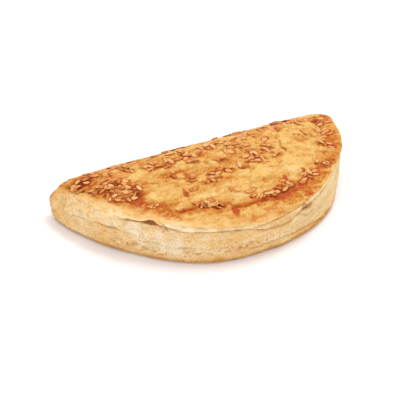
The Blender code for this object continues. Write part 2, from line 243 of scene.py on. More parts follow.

# Seams of the cut side: (half width, depth, darkness of their painted shade, ((x, height), ...)), in
# millimetres
SEAMS = (
    (0.4, 0.3, 0.25, ((-89.2, 10.7), (-87.5, 13.8), (-84.8, 14.6), (-82.5, 15.2), (-81, 15.6))),
    (0.4, 0.2, 0.1, ((-81, 15.6), (-78.7, 16.0), (-75, 17.2))),
    (0.42, 0.6, 0.6, ((-72.5, 16.7), (-70.5, 16.7), (-68.2, 17.0))),
    (0.4, 0.4, 0.4, ((-65.4, 20.6), (-65, 23), (-64.8, 25.6), (-62, 25.9), (-58, 26.3))),
    (0.4, 0.45, 0.6, ((-47.4, 26.8), (-46.0, 25.6), (-45.4, 22.2))),
    (0.35, 0.3, 0.5, ((-66, 8.4), (-65.6, 6.6))),
    (0.4, 0.35, 0.4, ((-59, 12.6), (-56.1, 12.5), (-53.6, 13.1))),
    (0.35, 0.3, 0.4, ((-53.6, 15.4), (-50.8, 15.8))),
    (0.5, 0.5, 0.2, ((-23.4, 22.0), (-22.6, 18.0), (-23.2, 15.0), (-22.4, 12.6))),
    (0.4, 0.35, 0.35, ((-14, 9.3), (-11.1, 9.4), (-7.4, 9.5), (-3, 8.8))),
    (0.45, 0.6, 0.6, ((38.2, 22.6), (33.6, 21.8), (30.4, 20.6))),
    (1.6, 1.5, 0.85, ((36.6, 21.5), (42.4, 19.9))),
    (2.4, -0.8, 0.0, ((36.8, 17.4), (39.6, 15.6))),
    (0.45, 0.5, 0.4, ((30.5, 20.3), (33, 18.8), (37, 16.6), (44, 15.4))),
    (0.4, 0.4, 0.3, ((24, 16.2), (27.5, 18.6), (29, 20.2))),
)

# Cracks of the crust: (half width, depth, darkness of the painted shade in the crack, ((x, y), ...))
CRACKS = (
    (0.5, 0.6, 0.3, ((45, 17.4), (46.2, 14.2), (43.7, 8.8), (45.6, 5.2))),
    (0.45, 0.4, 0.2, ((-30, 8), (-24, 9.5), (-17, 9), (-10, 10.5))),
    (0.45, 0.4, 0.12, ((18, -3), (26, -5), (34, -6))),
)

# Blisters of the crust: how many, where, how wide, how much longer than wide
BLISTERS = 90
BLISTER_X = (-80.0, 84.0)
BLISTER_Y = (-26.0, 38.0)
BLISTER_RADIUS = (1.4, 4.4)
BLISTER_STRETCH = (1.0, 2.2)
BLISTER_RANDOM = 8

# Usual and greatest browning of the crust, and usual browning of the cut side, from 0 to 1
CRUST_TONE = 0.4
CRUST_TONE_MOST = 0.84
SIDE_TONE = 0.29

# Paler and browner patches, among them painted highlights on the lobes' crests: (x, y, half width, half
# depth, amount)
TOP_TONES = (
    (-77, 33, 4, 3, 0.2), (-74, 31, 3, 3, 0.1), (-71, 31, 7, 6, 0.3), (-66, 18, 9, 8, 0.12),
    (-62, 19, 3, 3, 0.14), (-62, 20, 4, 4, 0.42), (-56, 12, 5, 3, -0.14), (-55, 11, 5, 4, -0.14),
    (-53, -5, 5, 2.6, 0.34), (-52, 2, 5, 4, 0.24), (-50.7, 3, 3.6, 6.5, 0.5), (-45, -6, 4, 3, -0.14),
    (-45, 16, 8, 3, -0.24), (-43, -4, 6, 4, -0.12), (-41, 5, 5, 4, 0.12), (-40, 34, 26, 5, 0.08),
    (-39, -12, 6, 2.8, -0.14), (-39, 1, 4, 3, 0.10), (-38, 28, 12, 4, 0.16), (-34, -15, 4, 4, 0.14),
    (-32, 0, 5, 4, -0.14), (-31, 14, 5, 3, -0.10), (-30, -10, 6, 4, -0.20), (-21, 11, 3, 2, 0.12),
    (-20, -14, 4, 3, -0.12), (-19, -5, 4, 5, -0.1), (-18, 15, 7, 4, -0.14), (-17, -1, 3, 3, -0.1),
    (-14, 25, 4, 3, -0.16), (-11, -11, 4, 3, -0.06), (-10, -20, 3, 3, 0.14), (-10, -17, 7, 4, -0.20),
    (-9, 12, 4, 3, 0.08), (-8, -21, 3, 2, 0.2), (-8, -6, 4, 3, 0.2), (-5, -3, 3, 3, 0.1),
    (-4, -28, 3, 2.5, -0.12), (-4, 0, 7, 5, 0.08), (-3, -33, 7, 5, 0.1), (-1, -26, 3, 2, -0.20),
    (0, 18, 4, 3, 0.16), (1, -18, 3, 3, -0.12), (2, -17, 4, 3, -0.12), (4, -20, 6, 4, -0.26),
    (6, -22, 3, 2, -0.12), (6, 15, 5, 3, -0.12), (9, 6, 5, 3, 0.06), (11, 14, 3, 2.5, 0.12),
    (13, -21, 5, 3, -0.14), (13, 29, 4, 3, -0.16), (14, -43, 13, 3.5, 0.04), (14, -12, 6, 4, -0.10),
    (15, 2, 3, 3, 0.12), (16, 17, 4, 2, 0.14), (17, -4, 4, 3, -0.08), (17, 6, 4, 4, 0.04),
    (20, -17, 6, 3, -0.22), (22, 13, 4, 3, 0.12), (26, -28, 8, 2.4, 0.16), (27, -23.5, 8, 2.5, 0.2),
    (29, 8, 10, 5, 0.3), (30, 34, 40, 5, 0.05), (32, 1, 6, 3, 0.06), (33, 6, 4, 4, 0.12),
    (33, 20, 8, 4, -0.06), (35, -10, 4, 3, -0.08), (40, -9, 12, 7, -0.18), (41, -15, 4, 3, -0.3),
    (43, -23.5, 5, 3, 0.22), (43, 23, 4, 3, -0.16), (43, 25, 4, 3, -0.28), (45, -32, 4, 3, 0.12),
    (46, -28, 6, 4, 0.14), (47, 31, 14, 4, 0.05), (49, -7, 4, 3, -0.12), (52, 14, 5, 5, 0.04),
    (57, -14, 5, 3, 0.14), (58, 12, 9, 8, -0.06), (60, 15, 5, 3, -0.14), (63, -13, 6, 5, 0.2),
    (70, 22, 4, 3, 0.12), (71, -5, 6, 10, 0.02), (82, 20, 6, 14, 0.03), (85, 36, 4, 4, 0.24),
)

# Small brown marks with a clear edge: (x, y, half width, half depth, amount)
MARKS = (
    (-3.6, -30.5, 2.2, 4.4, 0.46), (-25.2, -9.4, 1.6, 4.4, 0.48), (20, 3, 1.6, 1.2, 0.3),
    (35.4, -15.2, 1.9, 1.7, 0.5),
)

# How much browner and darker the crease is along the length, partly browning and partly painted shade, and
# how far the browning reaches over the edge
CREASE_BROWNING_AND_SHADE = (
    (-78, 0.08), (-66, 0.26), (-60, 0.38), (-54, 0.24), (-45, 0.2), (-38, 0.3), (-24, 0.38), (-8, 0.28),
    (8, 0.24), (20, 0.33), (34, 0.33), (44, 0.26), (56, 0.16), (68, 0.05), (84, 0.0),
)
# Flaps at the mound's foot, and the painted shadow line under them, along the length
FLAP_AND_SHADOW_LINE = (
    (-52, 0.0), (-47, 0.12), (-38, 0.24), (-26, 0.24), (-14, 0.2), (2, 0.18), (12, 0.18), (28, 0.18),
    (40, 0.0),
)
STRIP_TONE = (
    (-80, 0.08), (-64, 0.18), (-48, 0.10), (-30, -0.04), (10, -0.06), (30, 0.03), (46, 0.12), (60, 0.1),
    (84, 0.08),
)
BROWN_EDGE_ROW = (
    (-89, 17.6), (-84, 17.2), (-70, 16.9), (-60, 16.7), (-48, 16.6), (-30, 16.4), (6, 16.1), (30, 16.0),
    (46, 15.6), (58, 14.8), (68, 13.4), (90, 12.8),
)
BROWN_EDGE_BLUR = ((-84, 1.1), (-64, 1.0), (-48, 0.6), (-10, 0.65), (20, 0.7), (80, 0.4))

# Paler and browner places of the cut side: (x, half width, height, half height, amount)
SIDE_TONES = ((-82, 3.5, 16.5, 2.5, -0.22), (-64, 6, 19, 5, -0.18), (-43, 12, 12, 6, -0.2))

# Darker places along the lip: (x, half width, amount); the one at the right is painted shade on the wall
# under the overhanging top sheet
LIP_TONES = ((-2, 15, 0.12), (24, 13, 0.4))

# Upright crack of the cut side, right of which it is browner
CRACK_X = -22.8

# Rows of the section, from the base to the mound's foot
ROW_FOOT = 5
ROW_LOW = 9
ROW_LIP = 12
ROW_STRIP = 17
ROW_STEP = 20

# Rows between which the cut side, the lip, the top and the mound set in, and the flat strip ends
SIDE_STARTS = (4.5, 6.0)
LIP_STARTS = (12.4, 13.4)
TOP_STARTS = (15.2, 16.3)
STRIP_ENDS = (18.4, 19.4)
MOUND_STARTS = (20.6, 21.6)

# Resolution of the visible crust: rows of the mesh between each two rows of the section, and lattice spacing
OUTLINE_POINTS = 1440
STATIONS = 720
FIRST_ROW = 2
LAST_ROW = 21
ROWS_BETWEEN = (2, 5, 2, 4, 6, 6, 3, 3, 15, 4, 3, 6, 6, 4, 12, 8, 4, 5, 4)
MOUND_ROWS_BETWEEN = (4, 4, 4, 4, 6, 6, 6)
MOUND_SPACING = 0.6
BASE_SPACING = 3.0

# Table, soft box and the nearest thing that the camera sees, in metres; the point that it looks at, how far
# left of it and below it the camera is aimed, and the width of its film, in millimetres
TABLE_SIZE = 6.0
LAMP_PLACE = (0.42, 0.1, 1.32)
LAMP_SIZE = 0.6
NEAREST_SEEN = 0.05
LOOK_AT = (0.0, 9.0, 15.0)
AIM_LEFT = 7.233
AIM_BELOW = 6.99
FILM_WIDTH = 36.0

# Places of the colour sockets on a Mix node
MIX_FIRST = 6
MIX_SECOND = 7
MIX_RESULT = 2

# Scale of the fine pores of crust and layers, in cells a metre, and how strong they are
PORE_SCALE = 1150.0
PORE_AMOUNT = 1.2

# Values of the noise between which a fleck shows
FLECK_STARTS = 0.55
FLECK_FULL = 0.72


def linear(code):
    """Linear colour of a six-digit hexadecimal screen colour."""
    channels = [int(code[k:k + 2], 16) / 255.0 for k in (0, 2, 4)]
    return tuple(c / 12.92 if c <= 0.04045 else ((c + 0.055) / 1.055) ** 2.4 for c in channels)


def colour_property(name, description, code):
    """Colour setting with a hexadecimal screen colour as its default."""
    return bpy.props.FloatVectorProperty(
        name=name, description=description, subtype="COLOR", size=3, min=0.0, max=1.0, default=linear(code),
    )


def length_property(name, description, millimetres):
    """Length setting with a default in millimetres."""
    return bpy.props.FloatProperty(
        name=name, description=description, default=millimetres * MM, min=0.0, subtype="DISTANCE",
        unit="LENGTH",
    )


class TurnoverPastry(bpy.types.PropertyGroup):
    """Relief and colours of the baked pastry"""

    lumps: length_property("Lumps", "Height of the soft lumps of the crust", 0.5)
    blisters: length_property("Blisters", "Height of the small blisters of the crust", 0.75)
    wrinkles: length_property("Wrinkles", "Depth of the fine wrinkles along the crust", 0.29)
    folds: length_property("Folds", "Depth of the soft upright folds of the side", 0.5)
    layers: length_property("Layers", "Height of the thin layers at the lip", 0.28)
    heel: length_property("Heel", "Height of the lumps along the base", 0.45)
    pits: length_property("Pits", "Depth of the open crumb low on the side", 0.5)
    crust_pale: colour_property("Pale crust", "Crust that stood clear of the egg wash", "EAC688")
    crust_straw: colour_property("Straw crust", "Lightly baked crust", "DCAA60")
    crust_gold: colour_property("Golden crust", "Evenly baked crust", "CE9044")
    crust_amber: colour_property("Amber crust", "Well baked crust", "C06F1E")
    crust_chestnut: colour_property("Chestnut crust", "Crust in the crease", "B84E20")
    crust_dark: colour_property("Dark crust", "Darkest crust", "8E3E14")
    crust_wash: colour_property("Washed crust", "Crust under a thick egg wash", "E6C272")
    layer_wash: colour_property("Dull layers", "Duller patches of the cut side", "E4CB9A")
    layer_cream: colour_property("Cream layers", "Palest layers of the cut side", "FAEACB")
    layer_straw: colour_property("Straw layers", "Most of the cut side", "F5D5A0")
    layer_gold: colour_property("Golden layers", "Baked parts of the side", "EBBB76")
    layer_tan: colour_property("Tan layers", "Darker parts of the side", "CD9142")
    # colour of the painted shade in the gaps, grooves, pits and cracks of the cut side
    hollow: colour_property("Hollows", "Gaps between the layers", "B4681E")


class TurnoverSeeds(bpy.types.PropertyGroup):
    """Sizes and colours of the linseeds"""

    length: length_property("Length", "Length of a linseed", 4.9)
    width: length_property("Width", "Width of a linseed", 2.25)
    thickness: length_property("Thickness", "Thickness of a linseed", 0.8)
    pale: colour_property("Pale seed", "Least toasted seeds", "E8B474")
    toasted: colour_property("Toasted seed", "Most of the seeds", "C67A38")
    # dark seed colour, which also gives the rims their painted edge shade
    dark: colour_property("Dark seed", "Rims and darkest seeds", "96461A")
    husk_length: length_property("Husk length", "Length of a loose husk", 2.6)
    husk_width: length_property("Husk width", "Width of a loose husk", 0.55)
    husk_thickness: length_property("Husk thickness", "Thickness of a loose husk", 0.22)
    husk: colour_property("Husk", "Loose husks and flakes", "F6D49C")


class TurnoverStage(bpy.types.PropertyGroup):
    """Table, light and camera"""

    table: colour_property("Table", "White table top", "EFECEE")
    sky: bpy.props.FloatProperty(name="Sky", description="Strength of the even light", default=1.15, min=0.0)
    lamp: bpy.props.FloatProperty(
        name="Lamp", description="Power of the soft box, in watts", default=7.0, min=0.0
    )
    azimuth: bpy.props.FloatProperty(
        name="Azimuth", description="Camera's turn round the turnover", subtype="ANGLE",
        default=math.radians(-24.438),
    )
    elevation: bpy.props.FloatProperty(
        name="Elevation", description="Camera's height angle", subtype="ANGLE", default=math.radians(36.204),
    )
    distance: length_property("Distance", "From the camera to the turnover", 1400.0)
    lens: bpy.props.FloatProperty(
        name="Lens", description="Focal length in millimetres", default=214.93, min=1.0
    )


def track(x, stations):
    """Value at x, straight between the stations."""
    places = [place for place, _ in stations]
    values = [value for _, value in stations]
    return np.interp(x, places, values)


def ease(value, low, high):
    """0 below low, 1 above high, smooth between."""
    t = np.clip((value - low) / (high - low), 0.0, 1.0)
    return t * t * (3.0 - 2.0 * t)


def bump(value, middle, width):
    """1 at the middle, falling away to 0 on both sides."""
    return np.exp(-((value - middle) / width) ** 2)


def span(value, rise_from, rise_to, fall_from, fall_to):
    """0 outside, 1 inside, smooth at both ends."""
    return ease(value, rise_from, rise_to) * (1.0 - ease(value, fall_from, fall_to))


def front_share(y):
    """1 along the sealed edge and 0 along the fold, smooth round the tips."""
    return 1.0 - ease(y, TIP_Y + TIP_BLEND[0], TIP_Y + TIP_BLEND[1])


def noise(x, y, z, seed):
    """Smooth random values from -1 to 1, on a lattice of unit cells."""
    lattice = np.random.default_rng(seed).uniform(-1.0, 1.0, (32, 32, 32))
    points = np.stack(np.broadcast_arrays(x, y, z), axis=-1) + 0.37 * seed
    cells = np.floor(points).astype(int)
    t = points - cells
    t = t * t * (3.0 - 2.0 * t)
    total = np.zeros(points.shape[:-1])
    for corner in itertools.product((0, 1), repeat=3):
        share = np.prod(np.where(corner, t, 1.0 - t), axis=-1)
        i, j, k = np.moveaxis((cells + corner) % 32, -1, 0)
        total += share * lattice[i, j, k]
    return total


def superellipse(angle, half_x, half_y, power):
    """Points of a superellipse at the angles given; the power may change with the angle."""
    c, s = np.cos(angle), np.sin(angle)
    x = half_x * np.sign(c) * np.abs(c) ** (2.0 / power)
    y = half_y * np.sign(s) * np.abs(s) ** (2.0 / power)
    return x, y


def outline(count):
    """Evenly spaced points of the plan outline, anticlockwise from the right tip, and inward directions.

    The directions are evened out along CORNER_SPREAD, so that inset rows turn the corners without crossing.
    """
    angle = np.linspace(0.0, math.tau, 8001)
    back_x, back_y = superellipse(angle, HALF_LENGTH, BACK_DEPTH, BACK_POWER)
    power = np.where(np.cos(angle) < 0.0, FRONT_POWER_LEFT, FRONT_POWER_RIGHT)
    front_x, front_y = superellipse(angle, HALF_LENGTH, FRONT_DEPTH, power)
    is_back = angle <= math.pi
    x = np.where(is_back, back_x, front_x)
    y = np.where(is_back, back_y, front_y)
    points = np.column_stack((x - LEAN * np.minimum(y, 0.0), y + TIP_Y))
    run = np.concatenate(([0.0], np.cumsum(np.linalg.norm(np.diff(points, axis=0), axis=1))))
    even = np.linspace(0.0, run[-1], OUTLINE_POINTS, endpoint=False)
    points = np.column_stack([np.interp(even, run, points[:, axis]) for axis in (0, 1)])
    along = np.roll(points, -1, axis=0) - np.roll(points, 1, axis=0)
    inward = np.column_stack((-along[:, 1], along[:, 0]))
    inward /= np.linalg.norm(inward, axis=1)[:, None]
    reach = int(0.5 * CORNER_SPREAD / run[-1] * OUTLINE_POINTS)
    smooth = np.zeros_like(inward)
    for shift, weight in zip(range(-reach, reach + 1), np.hanning(2 * reach + 1)):
        smooth += weight * np.roll(inward, shift, axis=0)
    smooth /= np.linalg.norm(smooth, axis=1)[:, None]
    step = OUTLINE_POINTS // count
    return points[::step], smooth[::step]


def crease_width(x):
    """Distance from the outline to the foot of the mound, scalloped by the lobes."""
    width = track(x, CREASE_WIDTH)
    for middle, half, bulge in LOBES:
        width = width - bulge * np.clip(1.0 - ((x - middle) / half) ** 2, 0.0, 1.0)
    return width


def crest(x, y):
    """Height of the mound's top surface."""
    drop = RIDGE_DROP * (np.maximum(RIDGE_Y - y, 0.0) / RIDGE_DROP_SPAN) ** 1.6
    z = track(x, RIDGE_HEIGHT) - drop
    for lump_x, lump_y, radius, height in LUMPS:
        z = z + height * np.exp(-2.0 * ((x - lump_x) ** 2 + (y - lump_y) ** 2) / radius ** 2)
    return z


def front_section(x):
    """Sealed edge from the base to the top of the mound's foot, which hangs a little over the crease."""
    rim = track(x, RIM_HEIGHT)
    lip = track(x, LIP_GROOVE)
    low = track(x, LOW_GROOVE)
    foot = track(x, FOOT_HEIGHT)
    sloped = track(x, SLOPED_RIM)
    recess = track(x, RECESSED_LIP)
    bulge = track(x, TIP_BULGE)
    crease = crease_width(x)
    step = track(x, STEP_HEIGHT)
    tuck = np.clip(step / 5.0, 0.0, 1.0)
    ledge = track(x, FOOT_LEDGE)
    full = track(x, TIP_FULLNESS)
    waist = track(x, WAIST)
    edge = 2.0 - bulge + 6.0 * sloped + recess
    flat = np.zeros_like(x)
    return [
        (flat + BASE_INSET + BASE_CHAMFER, flat),
        (BASE_INSET - 0.7 * full, flat + 0.9),
        (BASE_INSET - 0.2 - full, foot - 0.7),
        (BASE_INSET - 0.9 - full + 1.5 * ledge, foot),
        (BASE_INSET - 1.4 - 0.7 * full, foot + 1.6),
        (1.2 - 0.5 * bulge, 0.5 * (foot + 1.6 + low - 0.8)),
        (0.8 - bulge + 0.5 * waist, low - 0.8),
        (0.8 - bulge + 0.7 * waist + track(x, LOW_DEPTH), low),
        (0.6 - bulge + waist, low + 0.9),
        (0.5 - bulge + waist, lip - 1.3),
        (0.8 - bulge + 0.7 * waist + track(x, LIP_DEPTH) + recess, lip),
        (0.1 - bulge + 1.2 * sloped + recess, lip + 0.8),
        (0.2 - bulge + 2.8 * sloped + recess, 0.5 * (lip + 0.8 + rim - 0.6)),
        (0.6 - bulge + 4.8 * sloped + recess, rim - 0.6),
        (edge, rim + 0.2),
        (np.maximum(0.62 * crease, edge + 1.6), rim + 0.5),
        (crease - 1.4, rim + 0.1),
        (crease + 0.7 * tuck, rim - 0.7),
        (crease + 0.2 - 0.5 * tuck, rim + 0.45 * step),
        (crease + 2.2 - 0.4 * tuck, rim + step),
    ]


def fold_section(x, y_at):
    """Folded back edge, with as many rows as the sealed edge."""
    height_scale = track(x, FOLD_SCALE)
    flat = np.zeros_like(x)
    rows = [(flat + BASE_INSET + BASE_CHAMFER, flat), (flat + BASE_INSET, flat + 0.9)]
    for turn in np.linspace(FOLD_TURNS[0], FOLD_TURNS[1], 13):
        fullness = FOLD_FULLNESS_ABOVE if turn > 0.0 else FOLD_FULLNESS_BELOW
        inset = FOLD_BULGE * (1.0 - math.cos(turn)) * fullness
        rows.append((flat + inset, 0.5 * FOLD_HEIGHT * (1.0 + math.sin(turn)) * height_scale))
    start, start_height = rows[-1]
    for step in range(1, 6):
        inset = start + FOLD_STEP * step
        top = crest(x, y_at(inset))
        gap = (top - start_height) * ((FOLD_REACH - inset) / (FOLD_REACH - start)) ** 2
        rows.append((inset, top - gap))
    return rows


def pastry_grid(count):
    """Surface points in rows from the base's centre to the mound's centre, count points a row."""
    edge, normal = outline(count)
    x = edge[:, 0]
    front = front_share(edge[:, 1])
    overhang = front * track(x, OVERHANG)
    rim = track(x, RIM_HEIGHT)
    centre = np.array(CENTRE)
    base = edge + normal * (BASE_INSET + BASE_CHAMFER)
    rows = [np.column_stack((centre + (base - centre) * share, np.zeros(count))) for share in (0.0, 0.5)]
    fold = fold_section(x, lambda inset: edge[:, 1] + normal[:, 1] * inset)
    for (front_inset, front_height), (fold_inset, fold_height) in zip(front_section(x), fold):
        inset = front * front_inset + (1.0 - front) * fold_inset
        height = front * front_height + (1.0 - front) * fold_height
        inset = inset + overhang * np.clip(1.0 - height / rim, 0.0, 1.0)
        rows.append(np.column_stack((edge + normal * inset[:, None], height)))
    foot = rows[-1]
    gap = crest(foot[:, 0], foot[:, 1]) - foot[:, 2]
    length = np.linalg.norm(foot[:, :2] - centre, axis=1)
    for share in MOUND_ROWS:
        plan = foot[:, :2] + (centre - foot[:, :2]) * share
        left = np.clip(1.0 - share * length / MOUND_REACH, 0.0, 1.0) ** 2
        rows.append(np.column_stack((plan, crest(plan[:, 0], plan[:, 1]) - gap * left)))
    return np.array(rows)


def smooth_round(rows, reach):
    """Rows evened out along the outline over a few stations."""
    total = np.zeros_like(rows)
    weights = np.hanning(2 * reach + 3)[1:-1]
    for shift, weight in zip(range(-reach, reach + 1), weights / weights.sum()):
        total += weight * np.roll(rows, shift, axis=1)
    return total


def fine_rows(coarse, first, parts_between):
    """Smooth curves through the section's rows from the first one on, and each fine row's place on them."""
    places = [float(first)]
    for number, parts in enumerate(parts_between, start=first):
        places.extend(number + (part + 1) / parts for part in range(parts))
    places = np.array(places)
    start = np.minimum(places.astype(int), len(coarse) - 2)
    t = (places - start)[:, None, None]
    before = coarse[np.maximum(start - 1, first)]
    here, after = coarse[start], coarse[start + 1]
    beyond = coarse[np.minimum(start + 2, len(coarse) - 1)]
    first_slope, last_slope = 0.5 * (after - before), 0.5 * (beyond - here)
    fine = (
        here * (1.0 + 2.0 * t) * (1.0 - t) ** 2 + first_slope * t * (1.0 - t) ** 2
        + after * t * t * (3.0 - 2.0 * t) + last_slope * t * t * (t - 1.0)
    )
    return fine, places


def shaped_rows():
    """The solid's rows, with the hollow's mouth set back and the mound's foot softened at both ends."""
    rows = smooth_round(pastry_grid(STATIONS), 3)
    edge, normal = outline(STATIONS)
    tables = (HOLLOW_MOUTH, GROOVE_CLOSED, SOFT_FOOT)
    mouth, closed, soft = ((track(edge[:, 0], table) * front_share(edge[:, 1]))[:, None] for table in tables)
    for row, inset, height in MOUTH_SECTION:
        rows[row] += (np.column_stack((edge + normal * inset, np.full(STATIONS, height))) - rows[row]) * mouth
    rows[ROW_LIP] += (0.5 * (rows[ROW_LIP - 1] + rows[ROW_LIP + 1]) - rows[ROW_LIP]) * closed
    outside, inside = rows[ROW_STRIP].copy(), rows[LAST_ROW + 1].copy()
    for row, share in SOFT_ROWS:
        rows[row] += (outside + (inside - outside) * share - rows[row]) * soft
    return rows


def lattice_inside(loop, spacing, margin):
    """Points of a triangular lattice inside a closed loop, at least a margin away from it."""
    low, high = loop.min(axis=0), loop.max(axis=0)
    points = []
    for number, y in enumerate(np.arange(low[1], high[1], spacing * math.sqrt(0.75))):
        x = np.arange(low[0] + (number % 2) * spacing / 2.0, high[0], spacing)
        points.append(np.column_stack((x, np.full(len(x), y))))
    points = np.concatenate(points)
    near, gap = nearest_on(loop, points)
    along = np.roll(loop, -1, axis=0) - np.roll(loop, 1, axis=0)
    inward = np.column_stack((-along[:, 1], along[:, 0]))
    inside = ((points - loop[near]) * inward[near]).sum(axis=1) > 0.0
    return points[inside & (gap > margin)]


def nearest_on(loop, points):
    """Index of the loop's nearest point to each point, and the distance to it."""
    tree = KDTree(len(loop))
    for number, (x, y) in enumerate(loop):
        tree.insert((x, y, 0.0), number)
    tree.balance()
    found = [tree.find((x, y, 0.0)) for x, y in points]
    return np.array([number for _, number, _ in found]), np.array([gap for _, _, gap in found])


def fill_loop(loop, spacing):
    """Lattice points inside a loop, and triangles over the loop's points followed by them."""
    inner = lattice_inside(loop, spacing, 0.6 * spacing)
    points = np.concatenate((loop, inner))
    found = delaunay_2d_cdt([Vector(point) for point in points], [], [list(range(len(loop)))], 1, 1e-7)
    sources = [min(source) for source in found[3]]
    return inner, np.array([[sources[corner] for corner in face] for face in found[2]])


def quad_faces(rows):
    """Faces between neighbouring rows of points that run round the outline."""
    station = np.arange(STATIONS)
    following = (station + 1) % STATIONS
    faces = []
    for row in range(rows - 1):
        below, above = row * STATIONS, (row + 1) * STATIONS
        faces.append(np.column_stack(
            (station + below, following + below, following + above, station + above)
        ))
    return np.concatenate(faces)


class Crust:
    """Smooth form of the crust, in millimetres, and the places that its relief and colours follow."""

    def __init__(self):
        rows = shaped_rows()
        ring, places = fine_rows(rows, FIRST_ROW, ROWS_BETWEEN)
        mound, _ = fine_rows(rows, LAST_ROW - 1, MOUND_ROWS_BETWEEN)
        surface = BVHTree.FromPolygons(mound.reshape(-1, 3).tolist(), quad_faces(len(mound)).tolist())
        top, top_faces = fill_loop(ring[-1, :, :2], MOUND_SPACING)
        base, base_faces = fill_loop(ring[0, :, :2], BASE_SPACING)
        heights = [surface.ray_cast(Vector((x, y, 100.0)), Vector((0, 0, -1)))[0].z for x, y in top]
        ring_points = ring.reshape(-1, 3)
        top_start = len(ring_points) - STATIONS
        base_start = len(ring_points) + len(top)
        base_faces = np.where(base_faces < STATIONS, base_faces, base_faces - STATIONS + base_start)
        self.points = np.concatenate((
            ring_points,
            np.column_stack((top, heights)),
            np.column_stack((base, np.zeros(len(base)))),
        ))
        self.faces = quad_faces(len(ring)).tolist() + (top_faces + top_start).tolist()
        self.faces += base_faces[:, ::-1].tolist()
        near_top, top_gap = nearest_on(ring[-1, :, :2], top)
        near_base, _ = nearest_on(ring[0, :, :2], base)
        station = np.concatenate((np.tile(np.arange(STATIONS), len(ring)), near_top, near_base))
        self.row = np.concatenate((
            np.repeat(places, STATIONS),
            LAST_ROW + 1.0 - np.exp(-top_gap),
            np.full(len(base), FIRST_ROW - 1.0),
        ))
        edge, _ = outline(STATIONS)
        run = np.concatenate(([0.0], np.cumsum(np.linalg.norm(np.diff(edge, axis=0), axis=1))))
        ahead = (edge[:, 1] < TIP_Y) & (np.arange(STATIONS) > STATIONS // 4)
        self.front_x, self.front_run = edge[ahead, 0], run[ahead]
        self.x, self.y, self.z = self.points.T
        self.edge_x, self.run = edge[station, 0], run[station]
        self.front = front_share(edge[:, 1])[station]
        foot = rows[ROW_STEP, :, :2]
        from_foot = np.linalg.norm(self.points[:, :2] - foot[station], axis=1)
        self.foot = np.where(self.row < ROW_STEP, -from_foot, from_foot)
        self.top = ease(self.row, *TOP_STARTS)
        self.mound = ease(self.row, *MOUND_STARTS)
        self.strip = span(self.row, *TOP_STARTS, *STRIP_ENDS) * self.front
        self.side = span(self.row, *SIDE_STARTS, *TOP_STARTS) * self.front

    def cells(self, x, y, z, seed):
        """Noise with cells of the sizes given, in millimetres."""
        return noise(self.x / x, self.y / y, self.z / z, seed)

    def seam(self, points):
        """Distance on the cut side from a line through (x, height) points."""
        places = [(np.interp(x, self.front_x, self.front_run), z) for x, z in points]
        return line_distance(np.column_stack((self.run, self.z)), places)


def line_distance(here, places):
    """Distance of each point from a line through the places given."""
    nearest = np.full(len(here), 1e3)
    for start, end in zip(places, places[1:]):
        start, along = np.array(start), np.array(end) - np.array(start)
        share = np.clip((here - start) @ along / (along @ along), 0.0, 1.0)
        nearest = np.minimum(nearest, np.linalg.norm(here - start - share[:, None] * along, axis=1))
    return nearest


def ridged(values):
    """Noise folded into sharp crests and wide valleys, from -0.5 to 0.5."""
    return 0.5 - 2.0 * np.abs(values)


def side_relief(crust, look):
    """Folds, thin layers and open crumb of the cut side, its seams, and the painted shade in its pits, cracks
    and seams.
    """
    x, z, run, row, side = crust.edge_x, crust.z, crust.run, crust.row, crust.side
    lip, foot = track(x, LIP_GROOVE), track(x, FOOT_HEIGHT)
    above_foot = ease(z, foot + 1.0, foot + 4.0)
    slanted = noise((run + 0.9 * z) / 4.6, z / 8.0, 0.0, 12)
    folds = crust.cells(9, 9, 6, 11) + 0.8 * slanted + 0.35 * noise(run / 2.4, z / 1.7, 0.0, 18)
    body = side * np.maximum(above_foot, 0.4) * (1.0 - 0.5 * ease(row, 12.0, 13.0))
    relief = look.folds / MM * folds * body
    heel = crust.cells(6, 6, 2.6, 17) + crust.cells(2.2, 2.2, 1.6, 19)
    relief = relief + look.heel / MM * heel * side * (1.0 - above_foot)
    leaf = crust.cells(14, 14, 1.1, 13) + 0.8 * crust.cells(5, 5, 0.8, 14)
    relief = relief + look.layers / MM * leaf * side * (0.45 + 0.55 * ease(row, ROW_LIP, 13.0))
    low_down = bump(z, foot + 4.5, 3.2) * ease(x, -76.0, -60.0) * (1.0 - 0.7 * ease(x, 14.0, 40.0))
    under_lip = 0.4 * ease(row, 10.0, 11.5) * (1.0 - ease(x, -60.0, -48.0))
    crumb = np.maximum(crust.cells(1.5, 1.5, 1.0, 15) + 0.5 * crust.cells(4, 4, 2.5, 16) - 0.06, 0.0)
    crumb = crumb * np.maximum(0.15, np.maximum(low_down, under_lip)) * side
    relief = relief - look.pits / MM * 2.0 * crumb
    relief = relief - SUNK_DEPTH * span(x, *SUNK_WALL) * span(z, 13.0, 19.0, lip - 0.6, lip + 0.4) * side
    sheet = track(x, SHEET_GROOVE) * bump(row, track(x, SHEET_ROW), 0.22) * crust.front
    fissures = np.zeros(len(x))
    for cell, seed in FISSURES:
        path = bump(noise(run / cell, 1.2 * z / cell, 0.0, seed), 0.0, 0.33 / cell)
        broken = ease(crust.cells(cell, cell, 0.8 * cell, seed + 1), 0.05, 0.35)
        fissures = np.maximum(fissures, path * broken * side)
    relief = relief - sheet - FISSURE_DEPTH * fissures
    # painted shade in the pits, the groove under the top sheet's edge, the hair cracks and the seams
    dark = np.maximum.reduce((0.8 * crumb, 0.6 * sheet, 0.26 * fissures))
    for half_width, depth, darkness, points in SEAMS:
        line = bump(crust.seam(points), 0.0, half_width) * side
        relief = relief - depth * line
        dark = np.maximum(dark, darkness * line)
    return relief, dark


